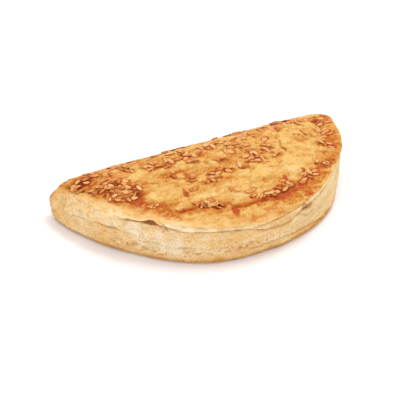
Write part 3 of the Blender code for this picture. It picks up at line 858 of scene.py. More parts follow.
def blister_domes(crust):
    """Blisters scattered over the crust: 1 on top of the widest ones, 0 between them."""
    draw = random.Random(BLISTER_RANDOM)
    domes = np.zeros(len(crust.x))
    for _ in range(BLISTERS):
        x, y = draw.uniform(*BLISTER_X), draw.uniform(*BLISTER_Y)
        radius, stretch = draw.uniform(*BLISTER_RADIUS), draw.uniform(*BLISTER_STRETCH)
        dome = bump(np.hypot((crust.x - x) / stretch, crust.y - y), 0.0, radius)
        domes = np.maximum(domes, dome * radius / BLISTER_RADIUS[1])
    return domes


def top_relief(crust, look):
    """Lumps, blisters, wrinkles and cracks of the browned crust, and their painted shade: darker in hollows
    and cracks, paler on crests.
    """
    mound = crust.mound
    lumps = crust.cells(12, 10, 12, 21) + 0.55 * crust.cells(5.5, 4.5, 5.5, 22)
    domes = blister_domes(crust)
    wrinkles = ridged(crust.cells(8, 2.2, 30, 23)) + 0.8 * ridged(crust.cells(4.5, 1.6, 30, 24))
    skin = crust.cells(2.4, 1.8, 2.4, 25) + (0.8 + 0.6 * crust.strip) * crust.cells(1.3, 1.0, 1.3, 26)
    relief = look.lumps / MM * lumps * (0.35 + 0.65 * mound) + look.blisters / MM * domes * mound
    relief = relief + look.wrinkles / MM * (wrinkles * mound + skin)
    cracks = np.zeros(len(crust.x))
    here = np.column_stack((crust.x, crust.y))
    for half_width, depth, darkness, points in CRACKS:
        line = bump(line_distance(here, points), 0.0, half_width) * mound
        relief = relief - depth * line
        cracks = np.maximum(cracks, darkness * line)
    relief = relief * np.maximum(crust.top, 0.5 * (1.0 - crust.front)) * ease(crust.row, 4.5, 7.0)
    # painted shade: raised lumps, blisters, wrinkles and skin paler, cracks darker
    return relief, cracks - 0.08 * lumps - 0.16 * domes - 0.07 * wrinkles - 0.09 * skin


def edge_relief(crust):
    """Ragged edge of the top sheet, its flaps at the mound's foot, and the left tip's pressed wrinkles."""
    run, row, foot, front = crust.run, crust.row, crust.foot, crust.front
    ragged = noise(run / 2.2, 0.0, row * 0.4, 31) + 0.6 * noise(run / 5.0, 0.0, 0.0, 32)
    flap = track(crust.edge_x, FLAP_AND_SHADOW_LINE) * (bump(foot, 1.0, 1.0) - 0.8 * bump(foot, -1.1, 0.7))
    crumple = noise(run / 1.9, foot / 1.5, 0.0, 35) * bump(foot, 0.6, 2.2)
    relief = 0.3 * ragged * bump(row, 15.4, 0.9) + (1.2 * flap + 0.5 * crumple) * ease(row, 17.0, 18.5)
    tip = ease(-crust.x, 68.0, 84.0) * span(row, 6.0, 8.0, 16.5, 19.0)
    pressed = ridged(noise(run / 3.4, crust.z / 9.0, 0.0, 33)) + 0.4 * crust.cells(1.8, 1.8, 4.0, 34)
    return relief * front + 0.55 * tip * pressed


def crust_browning(crust, shade):
    """How browned the crust is, with its painted shade and highlights, from 0 for pale to 1 for the darkest.
    """
    row, foot, front = crust.row, crust.foot, crust.front
    tone = 0.09 * crust.cells(17, 14, 17, 41) + 0.12 * crust.cells(5.5, 3.8, 5.5, 42)
    tone = tone + 0.15 * crust.cells(10, 1.9, 20, 43) + 0.08 * crust.cells(2.6, 1.6, 2.6, 47)
    tone = CRUST_TONE + tone * (1.0 - 0.2 * crust.strip) + shade
    # paler and browner patches, the lobes' pale crests among them being painted highlights
    for x, y, half_x, half_y, amount in TOP_TONES:
        tone = tone + amount * bump(crust.x, x, half_x) * bump(crust.y, y, half_y)
    for x, y, half_x, half_y, amount in MARKS:
        reach = np.hypot((crust.x - x) / half_x, (crust.y - y) / half_y)
        tone = tone + amount * (1.0 - ease(reach, 0.6, 1.25))
    # the crease darkens partly by browning and partly by painted shade
    near_crease = np.where(foot < 0.0, bump(foot, -0.9, 4.5), bump(foot, 0.0, 1.6))
    edge_tone = sum((
        track(crust.edge_x, CREASE_BROWNING_AND_SHADE) * near_crease,
        # painted shadow line under the flaps at the mound's foot
        track(crust.edge_x, FLAP_AND_SHADOW_LINE) * bump(foot, -0.9, 0.5),
        0.16 * bump(crust.edge_x, -4.0, 18.0) * bump(row, 16.2, 0.6),
    ))
    tone = tone + edge_tone * front + 0.08 * bump(row, 13.0, 4.0) * (1.0 - front)
    tone = tone + track(crust.edge_x, STRIP_TONE) * crust.strip
    return np.clip(tone, 0.0, CRUST_TONE_MOST)


def side_browning(crust):
    """How baked the cut side is, from 0 for cream to 1 for tan, with painted shade at the base and along the
    lip at the right.
    """
    x, z, row = crust.edge_x, crust.z, crust.row
    low, foot = track(x, LOW_GROOVE), track(x, FOOT_HEIGHT)
    low_down = 1.0 - ease(z, 13.0, 18.0)
    left_layer = (1.0 - ease(x, -68.0, -56.0)) * (1.0 - ease(z, low - 1.0, low + 0.5))
    crack = np.interp(CRACK_X, crust.front_x, crust.front_run)
    tone = SIDE_TONE + sum((
        # mottling, from wide to fine
        0.14 * crust.cells(8, 8, 5, 44),
        0.08 * crust.cells(4, 4, 9, 48),
        0.09 * crust.cells(2.6, 2.6, 1.6, 45),
        # base, foot and the lower layer at the left
        # the bottom band is darker partly from browning on the tray and partly as painted contact shade
        (0.4 + 0.28 * ease(x, -20.0, 20.0)) * (1.0 - ease(z, 0.4, 3.8)),
        0.09 * (1.0 - ease(z, foot + 1.0, foot + 6.0)) * ease(x, -66.0, -50.0),
        (0.03 + 0.17 * ease(x, -82.0, -72.0)) * left_layer,
        # left tip, right of the upright crack, and the right end low down
        0.14 * (1.0 - ease(x, -88.0, -82.0)),
        0.05 * ease(crust.run, crack, crack + 2.0) * (1.0 - ease(x, 30.0, 56.0)),
        (0.22 * ease(x, 22.0, 44.0) - 0.1 * bump(x, -84.0, 5.0)) * low_down,
        # middle of the cut side: browner round the crack and under the lip, paler below
        0.08 * bump(x, -22.0, 8.0) + 0.22 * bump(x, -8.0, 8.0) * (1.0 - low_down),
        -0.08 * bump(z, 10.0, 4.0) * ease(x, -60.0, -48.0),
        # pale lip and golden rim
        -0.22 * ease(row, 12.2, 13.0) * ease(x, -52.0, -44.0),
        0.3 * ease(row, 14.2, 16.0),
    ))
    # darker along the lip, at the right as painted shade under the overhanging top sheet
    for middle, half, amount in LIP_TONES:
        tone = tone + amount * bump(x, middle, half) * ease(row, *LIP_STARTS)
    for middle, half_x, height, half_z, amount in SIDE_TONES:
        tone = tone + amount * bump(x, middle, half_x) * bump(z, height, half_z)
    return np.clip(tone, 0.0, 1.0)


def wash_patches(crust, browning, layered):
    """Where the crust stayed yellower and duller under a thick egg wash, and the cut side is duller in
    patches and towards its right end, from 0 to 1.
    """
    x, z, run = crust.edge_x, crust.z, crust.run
    patches = crust.cells(8, 4.5, 8, 51) + 0.7 * crust.cells(3.2, 2.0, 3.2, 52)
    patches = patches + 0.2 * ease(crust.x, 0.0, 50.0)
    above = 0.55 * ease(patches, 0.05, 0.85) * (1.0 - ease(browning, 0.5, 0.66)) * (1.0 - 0.3 * crust.strip)
    patches = noise(run / 6.0, z / 4.0, 0.0, 54) + 0.6 * noise(run / 2.4, z / 1.8, 0.0, 55)
    # duller and greyer towards the right end of the cut side, above the base
    right_end = ease(x, 0.0, 44.0) * ease(z, 3.0, 9.0)
    beside = 0.5 * ease(patches, 0.1, 0.8) + 0.6 * right_end + 0.15 * bump(crust.row, 15.2, 1.0)
    return above + (np.minimum(beside, 0.8) - above) * layered


def hollow_shade(crust, dark):
    """How much painted shade darkens the gaps between layers, their grooves and the hollow's mouth, from 0 to
    1.
    """
    x, row = crust.edge_x, crust.row
    lip = 0.8 * bump(row, ROW_LIP, 0.5) * ease(track(x, LIP_DEPTH), 0.4, 3.0)
    low = 0.4 * bump(row, ROW_LOW, 0.5) * bump(x, -70.5, 4.0)
    foot = bump(row, ROW_FOOT, 0.35) * track(x, FOOT_SHADE_LINE) * (0.7 + 0.5 * crust.cells(3, 3, 3, 53))
    ragged = 0.3 * noise(crust.run / 1.6, crust.z / 1.6, 0.0, 60)
    mouth = 0.85 * track(x, HOLLOW_MOUTH) * bump(row + ragged, 12.1, 0.6) * (1.0 + ragged)
    return np.clip(np.maximum.reduce((lip, low, foot, mouth)) * crust.front + dark, 0.0, 1.0)


def dress_crust(crust, normals, look):
    """The crust's points with their relief, and the fields that its material reads."""
    run, row = crust.run, crust.row
    side, dark = side_relief(crust, look)
    top, shade = top_relief(crust, look)
    relief = (side + top + edge_relief(crust)) * ease(row, 3.0, 4.0)
    points = crust.points + normals * relief[:, None]
    points[:, 2] = np.maximum(points[:, 2], 0.0)
    edge = track(crust.edge_x, BROWN_EDGE_ROW)
    edge = edge + 0.3 * noise(run / 3.4, 0.0, 0.0, 46) + 0.12 * noise(run / 1.1, 0.0, row, 49)
    blur = track(crust.edge_x, BROWN_EDGE_BLUR)
    layered = crust.front * span(row, 2.5, 3.5, edge - blur, edge + blur)
    browning = crust_browning(crust, shade)
    fields = {
        "browning": browning,
        "washed": wash_patches(crust, browning, layered),
        "baked_side": side_browning(crust),
        "layered": layered,
        # painted shade in the gaps, grooves, pits and cracks
        "hollow": hollow_shade(crust, dark),
    }
    return points, fields


def finished(bm, name):
    """Mesh made of the faces drawn up in bm."""
    mesh = bpy.data.meshes.new(name)
    bm.to_mesh(mesh)
    bm.free()
    return mesh


def new_mesh(name, points, faces):
    """Mesh from points in metres and faces."""
    bm = bmesh.new()
    verts = [bm.verts.new(point) for point in points]
    for face in faces:
        bm.faces.new([verts[corner] for corner in face])
    return finished(bm, name)


def values_of(items, name, size):
    """A value of every vertex or normal of a mesh, one row of numbers for each."""
    values = np.zeros(len(items) * size, dtype=np.float32)
    items.foreach_get(name, values)
    return values.reshape(-1, size)


def socket(tree, value, target):
    """Put a value on a node's input, or link a node's output to it."""
    if isinstance(value, bpy.types.NodeSocket):
        tree.links.new(value, target)
    else:
        target.default_value = value


def add_node(tree, kind, inputs=(), **settings):
    """New node with its settings and inputs; inputs are (name or number, value or output) pairs."""
    node = tree.nodes.new(kind)
    for name, value in settings.items():
        setattr(node, name, value)
    for name, value in inputs:
        socket(tree, value, node.inputs[name])
    return node


def ramp(tree, value, stops):
    """Colour ramp through (position, linear colour) stops."""
    node = add_node(tree, "ShaderNodeValToRGB", [("Fac", value)])
    elements = node.color_ramp.elements
    while len(elements) < len(stops):
        elements.new(0.5)
    for element, (position, colour) in zip(elements, stops):
        element.position = position
        element.color = (*colour, 1.0)
    return node.outputs["Color"]


def calculate(tree, operation, first, second, use_clamp=False):
    """Sum, difference or product of two values, by the operation named."""
    inputs = [(0, first), (1, second)]
    return add_node(tree, "ShaderNodeMath", inputs, operation=operation, use_clamp=use_clamp).outputs[0]


def calculate_place(tree, operation, second):
    """Sum or product of the object's own coordinates and another vector."""
    place = add_node(tree, "ShaderNodeTexCoord").outputs["Object"]
    inputs = [(0, place), (1, second)]
    return add_node(tree, "ShaderNodeVectorMath", inputs, operation=operation).outputs["Vector"]


def noise_texture(tree, place, scale, detail, roughness=0.5):
    """Noise from 0 to 1 with cells of about a metre divided by the scale."""
    inputs = [("Vector", place), ("Scale", scale), ("Detail", detail), ("Roughness", roughness)]
    return add_node(tree, "ShaderNodeTexNoise", inputs).outputs["Fac"]


def remap(tree, value, to_min, to_max, from_min=0.0, from_max=1.0):
    """Value carried over from one range to another and held inside it."""
    inputs = [("From Min", from_min), ("From Max", from_max), ("To Min", to_min), ("To Max", to_max)]
    return add_node(tree, "ShaderNodeMapRange", [("Value", value), *inputs]).outputs["Result"]


def new_group(name, inputs, output):
    """Shader node group with float inputs (name, default) and one output, and its input and output nodes."""
    tree = bpy.data.node_groups.new(name, "ShaderNodeTree")
    for title, default in inputs:
        item = tree.interface.new_socket(name=title, in_out="INPUT", socket_type="NodeSocketFloat")
        item.default_value = default
    tree.interface.new_socket(name=output, in_out="OUTPUT", socket_type="NodeSocketFloat")
    return tree, tree.nodes.new("NodeGroupInput").outputs, tree.nodes.new("NodeGroupOutput").inputs


def mottle_group():
    """Fine oven mottling of a browning value: Value, Scale in cells a metre and Amount in, Value out."""
    if "Oven mottle" in bpy.data.node_groups:
        return bpy.data.node_groups["Oven mottle"]
    inputs = [("Value", 0.5), ("Scale", 600.0), ("Amount", 0.1)]
    tree, given, result = new_group("Oven mottle", inputs, "Value")
    place = add_node(tree, "ShaderNodeTexCoord").outputs["Object"]
    mottle = noise_texture(tree, place, given["Scale"], detail=4.0, roughness=0.6)
    centred = calculate(tree, "SUBTRACT", mottle, 0.5)
    scaled = calculate(tree, "MULTIPLY", centred, given["Amount"])
    socket(tree, calculate(tree, "ADD", given["Value"], scaled, use_clamp=True), result["Value"])
    return tree


def fleck_group():
    """Sparse dark and pale flecks: Value, Scale in cells a metre, Dark and Pale amounts in, Value out."""
    if "Baked flecks" in bpy.data.node_groups:
        return bpy.data.node_groups["Baked flecks"]
    inputs = [("Value", 0.5), ("Scale", 600.0), ("Dark", 0.2), ("Pale", 0.2)]
    tree, given, result = new_group("Baked flecks", inputs, "Value")
    total = given["Value"]
    for kind, shift, sign in (("Dark", 0.0, 1.0), ("Pale", 3.7, -1.0)):
        place = calculate_place(tree, "ADD", (shift, shift, shift))
        cells = noise_texture(tree, place, given["Scale"], detail=2.0)
        spots = remap(tree, cells, 0.0, sign, FLECK_STARTS, FLECK_FULL)
        amount = calculate(tree, "MULTIPLY", spots, given[kind])
        total = calculate(tree, "ADD", total, amount, use_clamp=True)
    socket(tree, total, result["Value"])
    return tree


def grain_group():
    """Fine crumb height: Scale in cells a metre, upright Stretch and Roughness in, Height out."""
    if "Crumb grain" in bpy.data.node_groups:
        return bpy.data.node_groups["Crumb grain"]
    inputs = [("Scale", 900.0), ("Stretch", 1.0), ("Roughness", 0.6)]
    tree, given, result = new_group("Crumb grain", inputs, "Height")
    stretch = add_node(tree, "ShaderNodeCombineXYZ", [("X", 1.0), ("Y", 1.0), ("Z", given["Stretch"])])
    place = calculate_place(tree, "MULTIPLY", stretch.outputs["Vector"])
    grain = noise_texture(tree, place, given["Scale"], detail=3.0, roughness=given["Roughness"])
    socket(tree, grain, result["Height"])
    return tree


def mottled(tree, value, scale, amount):
    """A value with fine oven mottling."""
    inputs = [("Value", value), ("Scale", scale), ("Amount", amount)]
    return add_node(tree, "ShaderNodeGroup", inputs, node_tree=mottle_group()).outputs["Value"]


def flecked(tree, value, scale, dark, pale):
    """A value with sparse dark and pale flecks."""
    inputs = [("Value", value), ("Scale", scale), ("Dark", dark), ("Pale", pale)]
    return add_node(tree, "ShaderNodeGroup", inputs, node_tree=fleck_group()).outputs["Value"]


def add_grain(tree, shader, scale, stretch, roughness, strength, distance):
    """Fine crumb on a shader, as a bump."""
    inputs = [("Scale", scale), ("Stretch", stretch), ("Roughness", roughness)]
    grain = add_node(tree, "ShaderNodeGroup", inputs, node_tree=grain_group()).outputs["Height"]
    inputs = [("Strength", strength), ("Distance", distance), ("Height", grain)]
    socket(tree, add_node(tree, "ShaderNodeBump", inputs).outputs["Normal"], shader.inputs["Normal"])


def field_value(tree, name):
    """A per-vertex field of the mesh."""
    node = add_node(tree, "ShaderNodeAttribute", attribute_name=name, attribute_type="GEOMETRY")
    return node.outputs["Fac"]


def mix_colour(tree, share, first, second, blend_type="MIX"):
    """Mix of two colours, or their product."""
    node = add_node(tree, "ShaderNodeMix", [("Factor", share)], data_type="RGBA", blend_type=blend_type)
    socket(tree, first, node.inputs[MIX_FIRST])
    socket(tree, second, node.inputs[MIX_SECOND])
    return node.outputs[MIX_RESULT]


def pored(tree, colour, deep, raised):
    """A colour darkened in its fine pores and lightened between them, by the two shades given."""
    shade = remap(tree, mottled(tree, 0.5, PORE_SCALE, PORE_AMOUNT), deep, raised)
    return mix_colour(tree, 1.0, colour, shade, blend_type="MULTIPLY")


def new_material(name):
    """New material with its node tree and its shader."""
    material = bpy.data.materials.new(name)
    material.use_nodes = True
    return material, material.node_tree, material.node_tree.nodes["Principled BSDF"]


def pastry_material(look):
    """Baked puff pastry: egg-washed crust above, pale layers at the cut side."""
    material, tree, shader = new_material("Baked puff pastry")
    layered = field_value(tree, "layered")
    browning = mottled(tree, field_value(tree, "browning"), scale=620.0, amount=0.36)
    browning = flecked(tree, browning, scale=780.0, dark=0.2, pale=0.16)
    crust = ramp(tree, browning, [
        (0.0, look.crust_pale), (0.22, look.crust_straw), (0.44, look.crust_gold), (0.62, look.crust_amber),
        (0.82, look.crust_chestnut), (1.0, look.crust_dark),
    ])
    side = mottled(tree, field_value(tree, "baked_side"), scale=800.0, amount=0.26)
    side = flecked(tree, side, scale=850.0, dark=0.36, pale=0.24)
    layers = ramp(tree, side, [
        (0.0, look.layer_cream), (0.22, look.layer_straw), (0.5, look.layer_gold), (0.85, look.layer_tan),
    ])
    washed = mottled(tree, field_value(tree, "washed"), scale=420.0, amount=0.7)
    crust = mix_colour(tree, washed, crust, (*look.crust_wash, 1.0))
    layers = mix_colour(tree, washed, layers, (*look.layer_wash, 1.0))
    crust = pored(tree, crust, deep=0.7, raised=1.3)
    layers = pored(tree, layers, deep=0.84, raised=1.16)
    colour = mix_colour(tree, layered, crust, layers)
    # painted shade: the hollow colour in the gaps, grooves, pits and cracks
    colour = mix_colour(tree, field_value(tree, "hollow"), colour, (*look.hollow, 1.0))
    socket(tree, colour, shader.inputs["Base Color"])
    socket(tree, remap(tree, layered, to_min=0.5, to_max=0.75), shader.inputs["Roughness"])
    add_grain(tree, shader, scale=850.0, stretch=1.5, roughness=0.6, strength=0.9, distance=0.0014)
    shader.inputs["Subsurface Weight"].default_value = 0.12
    shader.inputs["Subsurface Radius"].default_value = (1.0, 0.55, 0.25)
    shader.inputs["Subsurface Scale"].default_value = 0.0018
    shader.inputs["Specular IOR Level"].default_value = 0.12
    return material


def seed_material(seeds):
    """Toasted linseed: glossy, darker at the rim by toasting and painted edge shade, each seed toasted a
    little differently.
    """
    material, tree, shader = new_material("Toasted linseed")
    toast_and_rim_shade = mottled(tree, field_value(tree, "toast_and_rim_shade"), scale=900.0, amount=0.25)
    toast_and_rim_shade = flecked(tree, toast_and_rim_shade, scale=1400.0, dark=0.15, pale=0.2)
    colour = ramp(tree, toast_and_rim_shade, [(0.0, seeds.pale), (0.5, seeds.toasted), (1.0, seeds.dark)])
    socket(tree, colour, shader.inputs["Base Color"])
    add_grain(tree, shader, scale=2200.0, stretch=1.0, roughness=0.5, strength=0.25, distance=0.0002)
    shader.inputs["Roughness"].default_value = 0.35
    shader.inputs["Specular IOR Level"].default_value = 0.16
    return material


def husk_material(seeds):
    """Loose husks and flakes: thin, pale and dry."""
    material, tree, shader = new_material("Loose husk")
    browned = tuple(channel * share for channel, share in zip(seeds.husk, HUSK_BROWNED))
    colour = ramp(tree, mottled(tree, 0.35, scale=700.0, amount=1.2), [(0.0, seeds.husk), (1.0, browned)])
    socket(tree, colour, shader.inputs["Base Color"])
    add_grain(tree, shader, scale=2600.0, stretch=1.0, roughness=0.5, strength=0.3, distance=0.0002)
    shader.inputs["Roughness"].default_value = 0.6
    shader.inputs["Specular IOR Level"].default_value = 0.15
    return material


def add_field(mesh, name, values):
    """Give every vertex of a mesh its value of a field."""
    attribute = mesh.attributes.new(name, "FLOAT", "POINT")
    attribute.data.foreach_set("value", np.asarray(values, dtype=np.float32))


def new_piece(name, mesh, material, *stands_for):
    """Show a mesh as a piece of the turnover, riding on its one body."""
    mesh.materials.clear()
    mesh.materials.append(material)
    mesh.shade_smooth()
    piece = bpy.data.objects.new(name, mesh)
    bpy.context.scene.collection.objects.link(piece)
    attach(piece, "root")
    if stands_for:
        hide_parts(*stands_for)
    return piece


def surface_tree(piece):
    """Search tree of a piece's surface, in metres."""
    return BVHTree.FromObject(piece, bpy.context.evaluated_depsgraph_get())


def ground_at(surface, spot):
    """Where the crust lies under a spot of the plan, and its normal there."""
    hit, normal, _, _ = surface.ray_cast(Vector((spot.x * MM, spot.y * MM, 1.0)), Vector((0, 0, -1)))
    return hit, normal


def patch_spot(draw, patch_x, patch_y, half_x, half_y):
    """Random spot of an oval patch."""
    angle = draw.uniform(0.0, math.tau)
    reach = math.sqrt(draw.random())
    return Vector((patch_x + half_x * reach * math.cos(angle), patch_y + half_y * reach * math.sin(angle)))


def laid_on(hit, normal, height, yaw, pitch, roll, size):
    """World matrix of a small piece laid on the crust, its middle at a height over the place hit."""
    lift = Matrix.Translation(hit + normal * height)
    upright = Vector((0, 0, 1)).rotation_difference(normal).to_matrix().to_4x4()
    turn = Matrix.Rotation(yaw, 4, "Z") @ Matrix.Rotation(pitch, 4, "Y") @ Matrix.Rotation(roll, 4, "X")
    return lift @ upright @ turn @ Matrix.Scale(size, 4)


def seed_places(surface, thickness):
    """World matrices of the seeds: scattered in each patch, laid on the crust or on the seeds below them."""
    places = []
    taken = []
    tilt = (0.0, SEED_TILT)
    for number, (*patch, count) in enumerate(SEED_PATCHES):
        draw = random.Random(SEED_RANDOM + number)
        for _ in range(count):
            spot = patch_spot(draw, *patch)
            calm = FOLD_SEEDS_CALM if spot.y > FOLD_SEEDS_Y else 1.0
            yaw, roll, pitch = (calm * draw.gauss(*spread) for spread in (SEED_YAW, tilt, tilt))
            size = draw.uniform(*SEED_SIZES)
            hit, normal = ground_at(surface, spot)
            gaps = [(spot - other).length for other in taken]
            if hit is None or normal.z < SEED_STEEPEST or any(gap < SEED_APART for gap in gaps):
                continue
            taken.append(spot)
            under = min(sum(gap < SEED_OVERLAP for gap in gaps), 2)
            height = (0.5 - SEED_SUNK + SEED_STACK * under) * thickness
            pitch, roll = (max(-SEED_TILT_MOST, min(SEED_TILT_MOST, t * (1 + under))) for t in (pitch, roll))
            places.append(laid_on(hit, normal, height, yaw, pitch, roll, size))
    return places


def husk_places(surface, thickness):
    """World matrices of the husks: thrown in each patch, many of them propped up on one end."""
    places = []
    for number, (*patch, count) in enumerate(HUSK_PATCHES):
        draw = random.Random(HUSK_RANDOM + number)
        for _ in range(count):
            spot = patch_spot(draw, *patch)
            yaw = draw.uniform(0.0, math.tau)
            pitch, roll = draw.uniform(*HUSK_PITCH), draw.uniform(*HUSK_ROLL)
            size = draw.uniform(*HUSK_SIZES)
            hit, normal = ground_at(surface, spot)
            if hit is None or normal.z < HUSK_STEEPEST:
                continue
            height = (0.5 - HUSK_SUNK - HUSK_PROP * pitch) * thickness
            places.append(laid_on(hit, normal, height, yaw, pitch, roll, size))
    return places


def seed_shape(length, width, thickness):
    """One linseed lying along +X, a flattened drop, and how near each of its points is to the rim."""
    bm = bmesh.new()
    bmesh.ops.create_uvsphere(bm, u_segments=SEED_SIDES, v_segments=SEED_RINGS, radius=0.5)
    rims = []
    for vert in bm.verts:
        along = 2.0 * vert.co.z
        slim = (1.0 - 0.2 * along) * (1.0 - 0.36 * abs(along) ** 3.0)
        rims.append(4.0 * vert.co.x ** 2 + along ** 2)
        vert.co = Vector((
            along * 0.5 * length,
            vert.co.x * width * slim,
            vert.co.y * thickness * slim + 0.05 * thickness * along * along,
        ))
    bmesh.ops.recalc_face_normals(bm, faces=bm.faces)
    return finished(bm, "linseed"), rims


def seed_toast_and_rim_shade(count, rims):
    """How toasted each point of each seed is: a little differently from seed to seed, and more at the rim,
    partly as painted edge shade.
    """
    draw = random.Random(TOAST_RANDOM)
    toast_and_rim_shade = []
    for _ in range(count):
        base = min(TOAST_MOST, max(TOAST_LEAST, draw.gauss(*TOAST_USUAL)))
        if draw.random() < DARK_SEEDS:
            base += DARK_SEED_TOAST
        # the rim's darkening is partly painted shade along the seed's edge
        toast_and_rim_shade.extend(min(1.0, base + RIM_TOAST_AND_SHADE * max(0.0, rim - RIM_STARTS)) for rim in rims)
    return toast_and_rim_shade


def husk_shape(length, width, thickness):
    """One husk lying along +X: a thin, curled sliver."""
    bm = bmesh.new()
    bmesh.ops.create_uvsphere(bm, u_segments=HUSK_SIDES, v_segments=HUSK_RINGS, radius=0.5)
    for vert in bm.verts:
        along, across = 2.0 * vert.co.z, 2.0 * vert.co.x
        curl = 0.22 * width * across * across + 0.05 * length * along * along
        vert.co = Vector((along * 0.5 * length, vert.co.x * width, vert.co.y * thickness + curl))
    bmesh.ops.recalc_face_normals(bm, faces=bm.faces)
    return finished(bm, "husk")


def darken_round_seeds(crust, places, length, width):
    """Darken the crust in a thin line round each seed: browning where the egg wash gathered, and painted
    contact shade.
    """
    middle, half_width, amount = SEED_LINE_BROWNING_AND_SHADE
    points = values_of(crust.vertices, "co", 3)
    field = crust.attributes["browning"].data
    line = np.zeros(len(points))
    for place in places:
        near = np.nonzero(np.abs(points - np.array(place.translation)).max(axis=1) < 0.8 * length)[0]
        here = np.column_stack((points[near], np.ones(len(near)))) @ np.array(place.inverted()).T
        beyond = np.hypot(2.0 * here[:, 0] / length, 2.0 * here[:, 1] / width) - 1.0
        line[near] = np.maximum(line[near], bump(beyond, middle, half_width))
    # the line adds painted contact shade as well as browning
    browning = values_of(field, "value", 1)[:, 0] + amount * line
    field.foreach_set("value", np.clip(browning, 0.0, 1.0).astype(np.float32))


def joined_copies(name, mesh, places):
    """One mesh of copies of another, one for each matrix."""
    shape = np.column_stack((values_of(mesh.vertices, "co", 3), np.ones(len(mesh.vertices))))
    corners = [tuple(face.vertices) for face in mesh.polygons]
    points = np.concatenate([(shape @ np.array(place).T)[:, :3] for place in places])
    faces = []
    for number in range(len(places)):
        start = number * len(shape)
        faces.extend(tuple(start + corner for corner in face) for face in corners)
    return new_mesh(name, points, faces)


class TURNOVER_OT_pastry(bpy.types.Operator):
    """Make the baked pastry: mounded crust, layered sealed edge, folded back and flat base"""

    bl_idname = "turnover.make_pastry"
    bl_label = "Make Pastry"

    def execute(self, context):
        look = context.scene.turnover_pastry
        crust = Crust()
        mesh = new_mesh("puff_pastry", crust.points * MM, crust.faces)
        points, fields = dress_crust(crust, values_of(mesh.vertex_normals, "vector", 3), look)
        mesh.vertices.foreach_set("co", (points * MM).ravel())
        for name, values in fields.items():
            add_field(mesh, name, values)
        mesh.update()
        new_piece("puff_pastry", mesh, pastry_material(look), "pastry")
        return {"FINISHED"}


class TURNOVER_OT_linseeds(bpy.types.Operator):
    """Scatter the toasted linseeds on the crust"""

    bl_idname = "turnover.scatter_linseeds"
    bl_label = "Scatter Linseeds"

    def execute(self, context):
        seeds = context.scene.turnover_seeds
        surface = surface_tree(bpy.data.objects["puff_pastry"])
        shape, rims = seed_shape(seeds.length, seeds.width, seeds.thickness)
        places = seed_places(surface, seeds.thickness)
        mesh = joined_copies("linseeds", shape, places)
        add_field(mesh, "toast_and_rim_shade", seed_toast_and_rim_shade(len(places), rims))
        new_piece("linseeds", mesh, seed_material(seeds), "pastry")
        darken_round_seeds(bpy.data.objects["puff_pastry"].data, places, seeds.length, seeds.width)
        bpy.data.meshes.remove(shape)
        return {"FINISHED"}


class TURNOVER_OT_husks(bpy.types.Operator):
    """Scatter the loose husks and flakes, most of them along the mound's foot"""

    bl_idname = "turnover.scatter_husks"
    bl_label = "Scatter Husks"

    def execute(self, context):
        seeds = context.scene.turnover_seeds
        surface = surface_tree(bpy.data.objects["puff_pastry"])
        shape = husk_shape(seeds.husk_length, seeds.husk_width, seeds.husk_thickness)
        mesh = joined_copies("husks", shape, husk_places(surface, seeds.husk_thickness))
        new_piece("husks", mesh, husk_material(seeds), "pastry")
        bpy.data.meshes.remove(shape)
        return {"FINISHED"}


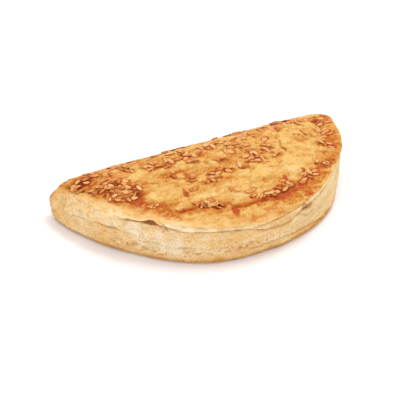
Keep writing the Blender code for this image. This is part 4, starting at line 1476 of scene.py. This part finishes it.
class TURNOVER_OT_stage(bpy.types.Operator):
    """Set up the white table, the soft light and the camera"""

    bl_idname = "turnover.set_stage"
    bl_label = "Set Stage"

    def execute(self, context):
        stage = context.scene.turnover_stage
        bpy.ops.mesh.primitive_plane_add(size=TABLE_SIZE, location=(0.0, 0.0, CAD_LOW.z))
        table = context.object
        table.name = "table"
        material, _, shader = new_material("White table")
        shader.inputs["Base Color"].default_value = (*stage.table, 1.0)
        shader.inputs["Roughness"].default_value = 0.9
        shader.inputs["Specular IOR Level"].default_value = 0.1
        table.data.materials.append(material)
        world = bpy.data.worlds.new("Even light")
        world.use_nodes = True
        world.node_tree.nodes["Background"].inputs["Color"].default_value = (1.0, 1.0, 1.0, 1.0)
        world.node_tree.nodes["Background"].inputs["Strength"].default_value = stage.sky
        context.scene.world = world
        lamp = bpy.data.lights.new("Soft box", "AREA")
        lamp.shape = "DISK"
        lamp.size = LAMP_SIZE
        lamp.energy = stage.lamp
        box = bpy.data.objects.new("Soft box", lamp)
        box.location = LAMP_PLACE
        box.rotation_euler = (-box.location).to_track_quat("-Z", "Y").to_euler()
        context.scene.collection.objects.link(box)
        turn, rise = stage.azimuth, stage.elevation
        back = Vector((math.sin(turn) * math.cos(rise), -math.cos(turn) * math.cos(rise), math.sin(rise)))
        right = Vector((math.cos(turn), math.sin(turn), 0.0))
        up = back.cross(right)
        look_at = (Vector(LOOK_AT) - right * AIM_LEFT - up * AIM_BELOW) * MM
        data = bpy.data.cameras.new("Camera")
        data.lens = stage.lens
        data.sensor_width = FILM_WIDTH
        data.clip_start = NEAREST_SEEN
        camera = bpy.data.objects.new("Camera", data)
        camera.location = look_at + back * stage.distance
        camera.rotation_euler = (-back).to_track_quat("-Z", "Y").to_euler()
        context.scene.collection.objects.link(camera)
        context.scene.camera = camera
        context.scene.view_settings.view_transform = "Standard"
        return {"FINISHED"}


class TURNOVER_PT_panel(bpy.types.Panel):
    """Settings and steps of the turnover"""

    bl_label = "Puff Pastry Turnover"
    bl_idname = "TURNOVER_PT_panel"
    bl_space_type = "VIEW_3D"
    bl_region_type = "UI"
    bl_category = "Turnover"

    def draw(self, context):
        for settings, operators in (
            ("turnover_pastry", ("turnover.make_pastry",)),
            ("turnover_seeds", ("turnover.scatter_linseeds", "turnover.scatter_husks")),
            ("turnover_stage", ("turnover.set_stage",)),
        ):
            group = getattr(context.scene, settings)
            box = self.layout.box()
            for name in group.__annotations__:
                box.prop(group, name)
            for operator in operators:
                box.operator(operator)


SETTINGS = {
    "turnover_pastry": TurnoverPastry,
    "turnover_seeds": TurnoverSeeds,
    "turnover_stage": TurnoverStage,
}
OPERATORS = (TURNOVER_OT_pastry, TURNOVER_OT_linseeds, TURNOVER_OT_husks, TURNOVER_OT_stage)


def register():
    """Add the settings, the operators and the panel."""
    for cls in (*SETTINGS.values(), *OPERATORS, TURNOVER_PT_panel):
        bpy.utils.register_class(cls)
    for name, group in SETTINGS.items():
        setattr(bpy.types.Scene, name, bpy.props.PointerProperty(type=group))


def unregister():
    """Take the panel, the operators and the settings away again."""
    for name in SETTINGS:
        delattr(bpy.types.Scene, name)
    for cls in (TURNOVER_PT_panel, *reversed(OPERATORS), *SETTINGS.values()):
        bpy.utils.unregister_class(cls)


def main():
    """Make the turnover and its stage."""
    register()
    bpy.ops.turnover.make_pastry()
    bpy.ops.turnover.scatter_linseeds()
    bpy.ops.turnover.scatter_husks()
    bpy.ops.turnover.set_stage()


if __name__ == "__main__":
    main()
